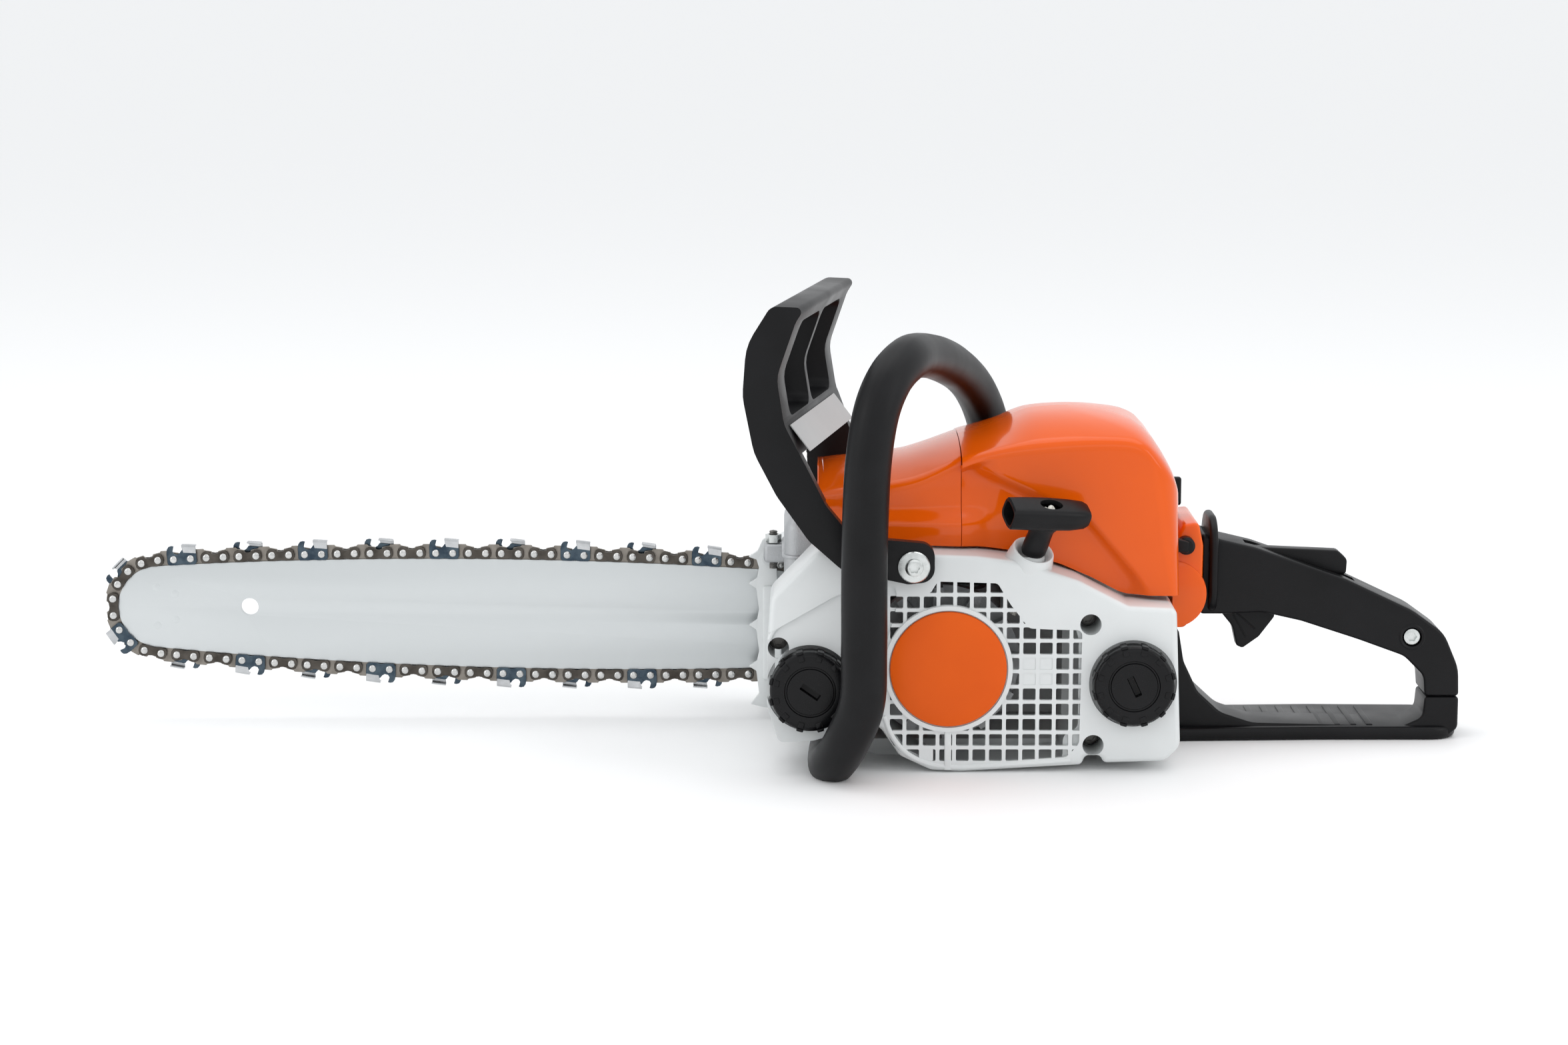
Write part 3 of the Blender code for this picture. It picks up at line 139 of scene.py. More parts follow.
def make_finish(
    name, dark, light, rough, metallic=0.0, clouds=22.0, grain=900.0, relief=0.1, reach=0.0002, coat=0.0,
    stretch=(1.0, 1.0, 1.0), detail=3.0, ior_level=0.5,
):
    """A finish whose tone and gloss drift in soft clouds, with a fine moulded or machined grain."""
    finish = bpy.data.materials.new(name)
    finish.use_nodes = True
    tree = finish.node_tree
    shader = tree.nodes["Principled BSDF"]
    shader.inputs["Metallic"].default_value = metallic
    shader.inputs["Coat Weight"].default_value = coat
    shader.inputs["Coat Roughness"].default_value = 0.04
    shader.inputs["Specular IOR Level"].default_value = ior_level
    place = tree.nodes.new("ShaderNodeTexCoord")
    cloud = link_noise(tree, place, clouds, detail, stretch)
    tones = tree.nodes.new("ShaderNodeValToRGB")
    tones.color_ramp.elements[0].position = 0.32
    tones.color_ramp.elements[1].position = 0.68
    tones.color_ramp.elements[0].color = (*dark, 1.0)
    tones.color_ramp.elements[1].color = (*light, 1.0)
    tree.links.new(cloud.outputs["Fac"], tones.inputs["Fac"])
    tree.links.new(tones.outputs["Color"], shader.inputs["Base Color"])
    fine = link_noise(tree, place, grain, 2.0, stretch)
    mixed = tree.nodes.new("ShaderNodeMath")
    mixed.operation = "MULTIPLY_ADD"
    mixed.inputs[1].default_value = 0.35
    tree.links.new(fine.outputs["Fac"], mixed.inputs[0])
    tree.links.new(link_range(tree, cloud.outputs["Fac"], 0.0, 0.65), mixed.inputs[2])
    tree.links.new(link_range(tree, mixed.outputs["Value"], rough[0], rough[1], 0.1, 0.9),
        shader.inputs["Roughness"])
    bump = tree.nodes.new("ShaderNodeBump")
    bump.inputs["Strength"].default_value = relief
    bump.inputs["Distance"].default_value = reach
    tree.links.new(fine.outputs["Fac"], bump.inputs["Height"])
    tree.links.new(bump.outputs["Normal"], shader.inputs["Normal"])
    FINISHES[name] = finish
    return finish


def make_finishes():
    make_finish("glossy_orange_shell", (0.74, 0.095, 0.0015), (0.79, 0.108, 0.002), (0.13, 0.20), clouds=14,
                grain=420, relief=0.035, coat=0.25, ior_level=0.22)
    make_finish("satin_grey_casing", (0.655, 0.675, 0.675), (0.705, 0.725, 0.725), (0.28, 0.42),
        clouds=18, grain=1500,
                relief=0.10, coat=0.08)
    make_finish("black_handle_plastic", (0.0035, 0.0035, 0.0040), (0.0065, 0.0065, 0.0075), (0.30, 0.46),
        clouds=26,
                grain=1700, relief=0.32, reach=0.00018, ior_level=0.2)
    make_finish("black_grip_rubber", (0.0038, 0.0038, 0.0044), (0.0075, 0.0075, 0.0085), (0.34, 0.50),
        clouds=30,
                grain=2300, relief=0.38, reach=0.00016, ior_level=0.2)
    make_finish("black_moulded_cap", (0.0025, 0.0025, 0.0030), (0.0050, 0.0050, 0.0058), (0.20, 0.34),
        clouds=40,
                grain=1400, relief=0.16, ior_level=0.22)
    make_finish("brushed_bar_steel", (0.55, 0.575, 0.58), (0.66, 0.685, 0.69), (0.30, 0.46),
        metallic=0.8, clouds=9,
                grain=420, relief=0.10, reach=0.00008, stretch=(0.16, 1.0, 1.0))
    make_finish("brown_strap_steel", (0.050, 0.044, 0.038), (0.105, 0.094, 0.082), (0.26, 0.46),
        metallic=0.9,
                clouds=160, grain=1800, relief=0.12, reach=0.0001)
    make_finish("worn_drive_steel", (0.19, 0.172, 0.150), (0.30, 0.275, 0.245), (0.28, 0.46), metallic=0.9,
                clouds=150, grain=1800, relief=0.12, reach=0.0001)
    make_finish("blued_cutter_steel", (0.035, 0.052, 0.072), (0.085, 0.115, 0.14), (0.20, 0.36),
        metallic=1.0, clouds=190,
                grain=1500, relief=0.08, reach=0.0001)
    make_finish("chromed_cutter_edge", (0.42, 0.43, 0.44), (0.58, 0.59, 0.60), (0.18, 0.30),
        metallic=1.0, clouds=130,
                grain=1100, relief=0.05, reach=0.0001)
    make_finish("bright_rivet_steel", (0.52, 0.52, 0.51), (0.66, 0.66, 0.65), (0.18, 0.32),
        metallic=1.0, clouds=260,
                grain=1500, relief=0.06, reach=0.0001)
    make_finish("turned_steel", (0.36, 0.37, 0.38), (0.50, 0.51, 0.52), (0.22, 0.42),
        metallic=1.0, clouds=60,
                grain=900, relief=0.10, reach=0.0001)
    make_finish("zinc_fastener", (0.55, 0.57, 0.56), (0.70, 0.72, 0.71), (0.18, 0.36),
        metallic=1.0, clouds=200,
                grain=1200, relief=0.08, reach=0.0001)
    make_finish("dark_fastener_steel", (0.115, 0.112, 0.105), (0.20, 0.195, 0.185), (0.28, 0.46),
        metallic=0.95,
                clouds=230, grain=1300, relief=0.12, reach=0.0001)
    make_finish("sand_cast_alloy", (0.40, 0.41, 0.42), (0.52, 0.53, 0.54), (0.42, 0.62),
        metallic=0.8, clouds=45,
                grain=1100, relief=0.5, reach=0.0003)
    make_finish("matt_orange_badge", (0.70, 0.092, 0.002), (0.75, 0.105, 0.003), (0.34, 0.46),
        clouds=18, grain=1500,
                relief=0.08, ior_level=0.2)
    make_finish("braided_starter_cord", (0.60, 0.58, 0.52), (0.78, 0.76, 0.70), (0.75, 0.92),
        clouds=900, grain=1500,
                relief=0.9, reach=0.0005)
    make_finish("flocked_filter_felt", (0.56, 0.53, 0.45), (0.70, 0.67, 0.60), (0.82, 0.96),
        clouds=120, grain=2600,
                relief=0.8, reach=0.0004)
    make_finish("plain_label_film", (0.46, 0.47, 0.47), (0.52, 0.53, 0.53), (0.30, 0.40),
        clouds=30, grain=1200,
                relief=0.05)
    # A darker copy of the grey casing: painted shade for its hollows. No piece is given it.
    make_finish("casing_painted_shade", (0.050, 0.053, 0.056), (0.085, 0.089, 0.094), (0.5, 0.7),
        clouds=40, grain=900,
                relief=0.2)


NODE_FINISH = {
    "glossy_orange_shell": "cylinder_shroud filter_cover handle_neck starter_badge",
    "satin_grey_casing": "engine_housing fan_housing sprocket_cover bumper_spike",
    "black_handle_plastic": "hand_guard rear_handle_grip rear_handle_base throttle_trigger trigger_lockout"
    " starter_grip master_control_lever twist_lock",
    "black_grip_rubber": "front_handle spark_plug_boot ignition_lead",
    "black_moulded_cap": "fuel_cap oil_cap rope_rotor oil_pump ignition_module",
    "brushed_bar_steel": "guide_bar",
    "brown_strap_steel": "saw_chain",
    "turned_steel": "crank_half_drive_side crank_half_fan_side crank_pin connecting_rod wrist_pin nose_sprocket"
    " main_bearing_drive_side main_bearing_fan_side clutch_drum brake_band rewind_spring throttle_shaft"
    " flywheel_nut bar_stud tension_screw",
    "zinc_fastener": "guard_pivot_screw bar_nut muffler_nut rear_handle_screw spark_plug",
    "dark_fastener_steel": "fan_screw_front fan_screw_rear_low fan_screw_rear_top muffler_stud",
    "sand_cast_alloy": "cylinder crankcase piston clutch_hub flywheel carburetor muffler chain_catcher",
    "flocked_filter_felt": "air_filter",
    "plain_label_film": "starter_rope",
}


def finish_cad_nodes():
    for finish, names in NODE_FINISH.items():
        for name in names.split():
            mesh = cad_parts[name].data
            mesh.materials.clear()
            mesh.materials.append(FINISHES[finish])



# ---------------------------------------------------------------- making pieces


def to_frame(bm):
    """Moves a mesh from design millimetres into the frame, in metres."""
    bmesh.ops.translate(bm, verts=bm.verts, vec=FRAME_SHIFT)
    bmesh.ops.scale(bm, verts=bm.verts, vec=(MM, MM, MM))


def hold(name, bm):
    mesh = bpy.data.meshes.new(name)
    bm.to_mesh(mesh)
    bm.free()
    thing = bpy.data.objects.new(name, mesh)
    bpy.context.scene.collection.objects.link(thing)
    return thing


def bake(thing):
    """Turns the modifiers into a plain mesh."""
    graph = bpy.context.evaluated_depsgraph_get()
    mesh = bpy.data.meshes.new_from_object(thing.evaluated_get(graph))
    thing.modifiers.clear()
    thing.data = mesh
    return thing


def shade(thing, angle=34.0):
    """Rounds the shading except across edges sharper than an angle."""
    bm = bmesh.new()
    bm.from_mesh(thing.data)
    for face in bm.faces:
        face.smooth = True
    for edge in bm.edges:
        edge.smooth = len(edge.link_faces) == 2 and edge.calc_face_angle(0.0) < math.radians(angle)
    bm.to_mesh(thing.data)
    bm.free()
    return thing


def round_edges(thing, width, segments=2, angle=32.0):
    step = thing.modifiers.new("edges", "BEVEL")
    step.width = width * MM
    step.segments = segments
    step.limit_method = "ANGLE"
    step.angle_limit = math.radians(angle)
    step.harden_normals = False
    return thing


def carve(thing, tools, operation="DIFFERENCE", solver="EXACT"):
    for tool in tools:
        step = thing.modifiers.new("carve", "BOOLEAN")
        step.operation = operation
        step.solver = solver
        step.object = tool
    bake(thing)
    for tool in tools:
        bpy.data.objects.remove(tool, do_unlink=True)
    return thing


def dress(thing, finish, body=BODY, replaced=(), angle=34.0, keep=False):
    """Gives a finished piece its finish, its body and the CAD nodes it stands for."""
    if thing.modifiers:
        bake(thing)
    if angle:
        shade(thing, angle)
    if not keep:
        thing.data.materials.clear()
        thing.data.materials.append(FINISHES[finish])
    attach(thing, body)
    if replaced:
        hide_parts(*replaced)
    return thing


def prism(name, loops, low, high, axis="Y"):
    """A flat outline, with any holes, between two heights along an axis."""
    curve = bpy.data.curves.new(name, "CURVE")
    curve.dimensions = "2D"
    curve.fill_mode = "BOTH"
    curve.extrude = (high - low) / 2
    for loop in loops:
        spline = curve.splines.new("POLY")
        spline.points.add(len(loop) - 1)
        for point, (a, b) in zip(spline.points, loop):
            point.co = (a, b, 0.0, 1.0)
        spline.use_cyclic_u = True
    guide = bpy.data.objects.new("guide", curve)
    bpy.context.scene.collection.objects.link(guide)
    graph = bpy.context.evaluated_depsgraph_get()
    mesh = bpy.data.meshes.new_from_object(guide.evaluated_get(graph))
    bm = bmesh.new()
    bm.from_mesh(mesh)
    bpy.data.objects.remove(guide, do_unlink=True)
    bpy.data.meshes.remove(mesh)
    middle = (low + high) / 2
    lift = Matrix.Translation({"X": (middle, 0, 0), "Y": (0, middle, 0), "Z": (0, 0, middle)}[axis])
    bmesh.ops.transform(bm, matrix=lift @ AXIS_TURN[axis], verts=bm.verts)
    bmesh.ops.remove_doubles(bm, verts=bm.verts, dist=0.001)
    bmesh.ops.dissolve_limit(bm, angle_limit=0.001, verts=bm.verts, edges=bm.edges)
    to_frame(bm)
    return hold(name, bm)


AXIS_TURN = {
    "X": Matrix(((0, 0, 1, 0), (1, 0, 0, 0), (0, 1, 0, 0), (0, 0, 0, 1))),
    "Y": Matrix(((1, 0, 0, 0), (0, 0, -1, 0), (0, 1, 0, 0), (0, 0, 0, 1))),
    "Z": Matrix.Identity(4),
}


def circle(centre, radius, count=32, start=0.0):
    return [
        (
            centre[0] + radius * math.cos(math.radians(start) + math.tau * k / count),
            centre[1] + radius * math.sin(math.radians(start) + math.tau * k / count),
        )
        for k in range(count)
    ]


def rounded(corners, step=12.0):
    """Points of a closed outline whose corners (a, b, radius) are turned into arcs."""
    points = []
    count = len(corners)
    for index, (a, b, radius) in enumerate(corners):
        here = Vector((a, b))
        before = Vector(corners[index - 1][:2]) - here
        after = Vector(corners[(index + 1) % count][:2]) - here
        if radius <= 0:
            points.append((a, b))
            continue
        half = before.angle(after) / 2
        reach = min(radius / math.tan(half), 0.49 * before.length, 0.49 * after.length)
        radius = reach * math.tan(half)
        middle = here + (before.normalized() + after.normalized()).normalized() * radius / math.sin(half)
        start = here + before.normalized() * reach - middle
        end = here + after.normalized() * reach - middle
        turn = start.angle_signed(end)
        arcs = max(1, round(abs(math.degrees(turn)) / step))
        for part in range(arcs + 1):
            points.append(tuple(middle + Matrix.Rotation(-turn * part / arcs, 2) @ start))
    return points


def smooth_line(knots, parts=6):
    """Points along a Catmull-Rom curve through the knots, of any dimension."""
    knots = [Vector(knot) for knot in knots]
    ends = [knots[0] * 2 - knots[1], *knots, knots[-1] * 2 - knots[-2]]
    path = []
    for a, b, c, d in zip(ends, ends[1:], ends[2:], ends[3:]):
        for part in range(parts):
            t = part / parts
            path.append(
                0.5 * (2 * b + (c - a) * t + (2 * a - 5 * b + 4 * c - d) * t**2 + (3 * b - a - 3 * c + d) * t**3)
            )
    return [*path, knots[-1]]


def turned(name, profile, centre, axis="Y", steps=48, ring=False):
    """A turned piece; its profile (radius, height) is closed on the axis unless it is a ring."""
    bm = bmesh.new()
    rows = []
    for step in range(steps):
        angle = math.tau * step / steps
        rows.append([bm.verts.new((r * math.cos(angle), r * math.sin(angle), h)) for r, h in profile])
    last = len(profile) if ring else len(profile) - 1
    for step in range(steps):
        row, after = rows[step], rows[(step + 1) % steps]
        for k in range(last):
            m = (k + 1) % len(profile)
            bm.faces.new((row[k], after[k], after[m], row[m]))
    bmesh.ops.remove_doubles(bm, verts=bm.verts, dist=0.0005)
    bmesh.ops.dissolve_degenerate(bm, edges=bm.edges, dist=0.0001)
    turn = {"X": Matrix.Rotation(math.pi / 2, 4, "Y"), "Y": Matrix.Rotation(-math.pi / 2, 4, "X"),
        "Z": Matrix.Identity(4)}
    bmesh.ops.transform(bm, matrix=Matrix.Translation(centre) @ turn[axis], verts=bm.verts)
    bmesh.ops.recalc_face_normals(bm, faces=bm.faces)
    to_frame(bm)
    return hold(name, bm)


def slab(name, low, high, bevel=0.0, turn=None, segments=3):
    """A block with rounded edges, turned about its middle if asked."""
    bm = bmesh.new()
    size = Vector(high) - Vector(low)
    centre = (Vector(high) + Vector(low)) / 2
    bmesh.ops.create_cube(bm, size=1.0, matrix=Matrix.Diagonal((*size, 1.0)))
    if bevel:
        bmesh.ops.bevel(bm, geom=bm.edges[:], offset=bevel, segments=segments, profile=0.5, affect="EDGES")
    bmesh.ops.transform(bm, matrix=Matrix.Translation(centre) @ (turn or Matrix.Identity(4)),
        verts=bm.verts)
    to_frame(bm)
    return hold(name, bm)


def loft(name, rows, closed_rows=False, caps=False):
    """A skin through rows of design points; each row has the same count."""
    bm = bmesh.new()
    grid = [[bm.verts.new(point) for point in row] for row in rows]
    count = len(rows[0])
    for row, after in zip(grid, grid[1:]):
        for k in range(count if closed_rows else count - 1):
            m = (k + 1) % count
            bm.faces.new((row[k], row[m], after[m], after[k]))
    if caps:
        bm.faces.new(grid[0][::-1])
        bm.faces.new(grid[-1])
    bmesh.ops.recalc_face_normals(bm, faces=bm.faces)
    to_frame(bm)
    return hold(name, bm)


def from_cad(node, name, dissolve=4.0):
    """A copy of a CAD node with its loose triangles merged into whole faces."""
    bm = bmesh.new()
    bm.from_mesh(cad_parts[node].data)
    bmesh.ops.remove_doubles(bm, verts=bm.verts, dist=0.00002)
    bmesh.ops.dissolve_degenerate(bm, edges=bm.edges, dist=0.00001)
    bmesh.ops.dissolve_limit(bm, angle_limit=math.radians(dissolve), verts=bm.verts, edges=bm.edges)
    return hold(name, bm)


def merge(name, things):
    """Joins several pieces of one finish into one mesh."""
    bm = bmesh.new()
    for thing in things:
        if thing.modifiers:
            bake(thing)
        bm.from_mesh(thing.data)
        bpy.data.objects.remove(thing, do_unlink=True)
    return hold(name, bm)


# ---------------------------------------------------------------- repeating shapes


def repeat_tree():
    """Sets one shape on every point, turned by the point's own angles."""
    tree = bpy.data.node_groups.new("repeat_on_points", "GeometryNodeTree")
    face = tree.interface
    face.new_socket("Geometry", in_out="INPUT", socket_type="NodeSocketGeometry")
    shape = face.new_socket("Repeated Shape", in_out="INPUT", socket_type="NodeSocketObject")
    size = face.new_socket("Shape Size", in_out="INPUT", socket_type="NodeSocketFloat")
    finish = face.new_socket("Finish", in_out="INPUT", socket_type="NodeSocketMaterial")
    face.new_socket("Geometry", in_out="OUTPUT", socket_type="NodeSocketGeometry")
    given = tree.nodes.new("NodeGroupInput")
    made = tree.nodes.new("NodeGroupOutput")
    info = tree.nodes.new("GeometryNodeObjectInfo")
    turn = tree.nodes.new("GeometryNodeInputNamedAttribute")
    turn.data_type = "FLOAT_VECTOR"
    turn.inputs["Name"].default_value = "turn"
    place = tree.nodes.new("GeometryNodeInstanceOnPoints")
    real = tree.nodes.new("GeometryNodeRealizeInstances")
    paint = tree.nodes.new("GeometryNodeSetMaterial")
    link = tree.links.new
    link(given.outputs["Repeated Shape"], info.inputs["Object"])
    link(given.outputs["Geometry"], place.inputs["Points"])
    link(info.outputs["Geometry"], place.inputs["Instance"])
    link(turn.outputs["Attribute"], place.inputs["Rotation"])
    link(given.outputs["Shape Size"], place.inputs["Scale"])
    link(place.outputs["Instances"], real.inputs["Geometry"])
    link(real.outputs["Geometry"], paint.inputs["Geometry"])
    link(given.outputs["Finish"], paint.inputs["Material"])
    link(paint.outputs["Geometry"], made.inputs["Geometry"])
    return tree, {"shape": shape.identifier, "size": size.identifier, "finish": finish.identifier}


REPEAT, REPEAT_KEYS = repeat_tree()


def repeated(name, spots, shape, finish, size=1.0):
    """Copies of a shape, drawn in metres about its origin, at spots (design point, angles)."""
    bm = bmesh.new()
    for place, _ in spots:
        bm.verts.new((Vector(place) + FRAME_SHIFT) * MM)
    thing = hold(name, bm)
    turn = thing.data.attributes.new("turn", "FLOAT_VECTOR", "POINT")
    turn.data.foreach_set("vector", [value for _, angles in spots for value in angles])
    step = thing.modifiers.new("repeat", "NODES")
    step.node_group = REPEAT
    step[REPEAT_KEYS["shape"]] = shape
    step[REPEAT_KEYS["size"]] = size
    step[REPEAT_KEYS["finish"]] = FINISHES[finish]
    bake(thing)
    bpy.data.objects.remove(shape, do_unlink=True)
    return thing


def at_origin(thing):
    """Takes the frame shift off a shape, so that it can be repeated about its own origin."""
    thing.data.transform(Matrix.Translation(-FRAME_SHIFT * MM))
    return thing


# ---------------------------------------------------------------- bar and saw chain

CRANK = Vector((86.0, 55.0))
NOSE = Vector((-357.5, 64.0))
BAR_Y = 45.0
BAR_LENGTH = (NOSE - CRANK).length
ALONG = (NOSE - CRANK) / BAR_LENGTH
ACROSS = Vector((ALONG.y, -ALONG.x))
SPROCKET_RADIUS, NOSE_RADIUS = 17.8, 27.0
RUN_PEAK, RUN_PEAK_AT, RUN_BEND = 35.0, 230.0, 2930.0
LINKS = 55
STRAP_REACH = 4.85


def on_bar(along, across):
    spot = CRANK + ALONG * along + ACROSS * across
    return (spot.x, spot.y)


def hull(points):
    """Convex outline of points, anticlockwise."""
    points = sorted(set(points))
    sides = []
    for run in (points, points[::-1]):
        side = []
        for point in run:
            while len(side) > 1:
                (ax, ay), (bx, by) = side[-2:]
                if (bx - ax) * (point[1] - ay) - (by - ay) * (point[0] - ax) > 1e-9:
                    break
                side.pop()
            side.append(point)
        sides.append(side[:-1])
    return sides[0] + sides[1]


def chain_loop(offset, arcs=72, runs=50):
    """The chain's rivet line moved outwards by an offset, in bar coordinates."""
    spots = circle((0.0, 0.0), SPROCKET_RADIUS + offset, arcs) + circle((BAR_LENGTH, 0.0),
        NOSE_RADIUS + offset, arcs)
    for part in range(runs + 1):
        along = 76.0 + (BAR_LENGTH - 102.0) * part / runs
        height = RUN_PEAK + offset - (along - RUN_PEAK_AT) ** 2 / (2 * RUN_BEND)
        spots += [(along, height), (along, -height)]
    return hull(spots)


class Loop:
    """Walks along a closed outline in bar coordinates."""

    def __init__(self, outline):
        self.points = [Vector(point) for point in outline]
        self.ends = self.points[1:] + self.points[:1]
        self.lengths = [(b - a).length for a, b in zip(self.points, self.ends)]
        self.total = sum(self.lengths)

    def at(self, distance):
        distance %= self.total
        for a, b, length in zip(self.points, self.ends, self.lengths):
            if distance <= length:
                return a + (b - a) * distance / length
            distance -= length
        return self.points[0]


RIVETS = Loop(chain_loop(0.0))
LINK_PITCH = RIVETS.total / LINKS


def link_spot(distance, reach=STRAP_REACH, y=BAR_Y):
    """Middle and turn of a link whose two rivets sit on the loop, a reach either side."""
    back, ahead = RIVETS.at(distance - reach), RIVETS.at(distance + reach)
    back, ahead = Vector(on_bar(*back)), Vector(on_bar(*ahead))
    middle, heading = (back + ahead) / 2, ahead - back
    return (middle.x, y, middle.y), (0.0, -math.atan2(heading.y, heading.x), 0.0)


def cutter_side(link):
    """Which side a cutter sits on for a link: -1 near, 1 far, 0 none."""
    if link % 2:
        return 0
    order = link // 2
    return 0 if order >= 27 else (-1 if order % 2 else 1)


def link_plate(name, outline, low, high, bevel=0.18):
    return at_origin(bake(round_edges(prism(name, [outline], low, high), bevel, 1, 50.0)))


def make_cutter(side):
    """One cutter's blued side plate and its chromed top plate, about its own middle."""
    outline = [(-8.4, -2.2), (-7.4, -3.3), (-2.6, -3.4), (0.0, -2.9), (2.6, -3.4), (7.2, -3.4),
        (8.5, -2.2), (8.5, 3.0)]
    outline += [(8.2, 4.6), (1.2, 5.4), (0.2, 5.2), (-0.9, 3.7), (-2.6, 2.7), (-4.3, 3.3), (-5.1, 4.6),
        (-4.7, 6.3)]
    outline += [(-4.3, 7.5), (-5.6, 7.8), (-7.2, 7.4), (-8.2, 6.0), (-8.6, 3.4)]
    face = side * 2.75
    body = link_plate("cutter_side", outline, *sorted((face, side * 1.25)))
    profile = [(face, 3.6), (face + side * 0.25, 5.6), (face + side * 0.25, 7.2), (face - side * 0.35, 8.1)]
    profile += [(face - side * 1.3, 8.35), (face - side * 3.0, 8.3), (face - side * 4.7, 8.2)]
    rows = []
    for x, drop in ((1.0, 0.0), (3.4, 0.2), (5.8, 0.45), (8.3, 0.75)):
        lean = 0.9 * (1.0 - (x - 1.0) / 7.3)
        rows.append([(x - lean * (z - 3.6) / 4.7, y, z - drop) for y, z in profile])
    top = loft("cutter_top", rows)
    shell = top.modifiers.new("wall", "SOLIDIFY")
    shell.thickness = 0.9 * MM
    shell.offset = -1.0
    return body, at_origin(bake(round_edges(bake(top), 0.15, 1, 50.0)))


def make_saw_chain():
    strap = [(-8.0, -1.6), (-7.0, -3.1), (-3.4, -3.3), (0.0, -2.75), (3.4, -3.3), (7.0, -3.1),
        (8.0, -1.6), (8.1, 0.6)]
    strap += [(7.4, 2.6), (5.8, 3.4), (4.0, 3.3), (2.4, 2.5), (0.0, 2.1), (-2.4, 2.5), (-4.0, 3.3),
        (-5.8, 3.4)]
    strap += [(-7.4, 2.6), (-8.1, 0.6)]
    drive = [(-8.2, 0.8), (-8.1, -2.9), (-4.6, -4.6), (-1.6, -7.1), (1.6, -7.1), (4.6, -4.6), (8.1, -2.9),
        (8.2, 0.8)]
    drive += [(7.4, 3.3), (3.4, 4.1), (2.8, 4.9), (-2.8, 4.9), (-3.4, 4.1), (-7.4, 3.3)]
    straps, cutters, rivets = [], {-1: [], 1: []}, []
    for link in range(LINKS):
        middle = (link + 0.46) * LINK_PITCH
        for side in (-1, 1):
            spot = link_spot(middle)
            if cutter_side(link) == side:
                cutters[side].append(spot)
            else:
                straps.append(((spot[0][0], BAR_Y + side * 2.05, spot[0][2]), spot[1]))
        for reach in (-STRAP_REACH, STRAP_REACH):
            x, z = on_bar(*RIVETS.at(middle + reach))
            rivets.append(((x, BAR_Y, z), spot[1]))
    drives = [link_spot((link + 0.96) * LINK_PITCH, LINK_PITCH / 2 - STRAP_REACH) for link in range(LINKS)]
    chain = repeated("chain_tie_straps", straps, link_plate("strap", strap, -0.65, 0.65),
        "brown_strap_steel")
    dress(chain, "brown_strap_steel", replaced=["saw_chain"], angle=30)
    drive_set = repeated("chain_drive_links", drives, link_plate("drive", drive, -0.6, 0.6),
        "worn_drive_steel")
    dress(drive_set, "worn_drive_steel", angle=30)
    head = [(0, -3.75), (0.9, -3.7), (1.65, -3.45), (2.15, -3.05), (2.2, -2.6), (2.2, 2.6), (2.15, 3.05),
        (1.65, 3.45)]
    head += [(0.9, 3.7), (0, 3.75)]
    pin = at_origin(turned("rivet", head, (0.0, 0.0, 0.0), "Y", 16))
    dress(repeated("chain_rivets", rivets, pin, "bright_rivet_steel"),
        "bright_rivet_steel", angle=50)
    for side, name in ((-1, "near"), (1, "far")):
        body, top = make_cutter(side)
        bodies = repeated("chain_cutters_" + name, cutters[side], body, "blued_cutter_steel")
        dress(bodies, "blued_cutter_steel", angle=30)
        tops = repeated("chain_cutter_tops_" + name, cutters[side], top, "chromed_cutter_edge")
        dress(tops, "chromed_cutter_edge", angle=30)


def make_guide_bar():
    """A welded bar: groove lips, worn rail edges, hanging hole, tail slot and sprocket-nose rivets."""
    edge = [(a, b) for a, b in chain_loop(-3.4) if a > 84.0]
    upper = sorted([point for point in edge if point[1] > 0], key=lambda point: point[0])
    lower = sorted([point for point in edge if point[1] <= 0], key=lambda point: -point[0])
    tail = [(62.0, -23.5), (34.0, -18.5), (26.0, -12.0), (26.0, 12.0), (34.0, 18.5), (62.0, 23.5)]
    outline = [on_bar(*point) for point in upper + lower + tail]
    slot = [on_bar(*point) for point in rounded([(70, -4.2, 4.1), (70, 4.2, 4.1), (34, 4.2, 4.1),
        (34, -4.2, 4.1)])]
    hang = circle(on_bar(392.0, 1.0), 5.0, 32)
    bar = prism("guide_bar_rails", [outline, slot[::-1], hang[::-1]], BAR_Y - 1.8, BAR_Y + 1.8)
    rim = [[on_bar(*point) for point in chain_loop(offset)] for offset in (2.5, -9.0)]
    carve(bar, [prism("groove", rim, BAR_Y - 0.75, BAR_Y + 0.75)])
    round_edges(bar, 0.35, 2, 60.0)
    dress(bar, "brushed_bar_steel", replaced=["guide_bar"], angle=25)
    spots = [((NOSE.x + x, BAR_Y, NOSE.y + z), (0.0, 0.0, 0.0)) for x, z in ((9, 7.5), (9, -7.5),
        (-1.5, 11), (-1.5, -11))]
    flat = [(0, -1.92), (2.0, -1.92), (2.2, -1.84), (2.2, 1.84), (2.0, 1.92), (0, 1.92)]
    rivet = at_origin(turned("nose_rivet", flat, (0, 0, 0), "Y", 28))
    dress(repeated("bar_nose_rivets", spots, rivet, "brushed_bar_steel"),
        "brushed_bar_steel", angle=50)


# ---------------------------------------------------------------- orange shells

SHELL_NEAR, SHELL_MIDDLE, SHELL_SEAM, SHELL_REAR = -76.0, -17.75, 95.7, 213.5
SHELL_WALL = 2.4
SHELL_CORNER = 18.0
ROLL_STEPS = (0.35, 0.9, 1.7, 2.8, 4.0, 6.0, 9.0, 13.0, 18.0, 24.0, 31.0, 39.0, 48.0)


def level(table, x):
    """Height read off a table of (x, height), straight between its points."""
    if x <= table[0][0]:
        return table[0][1]
    for (a, low), (b, high) in zip(table, table[1:]):
        if x <= b:
            return low + (high - low) * (x - a) / (b - a)
    return table[-1][1]


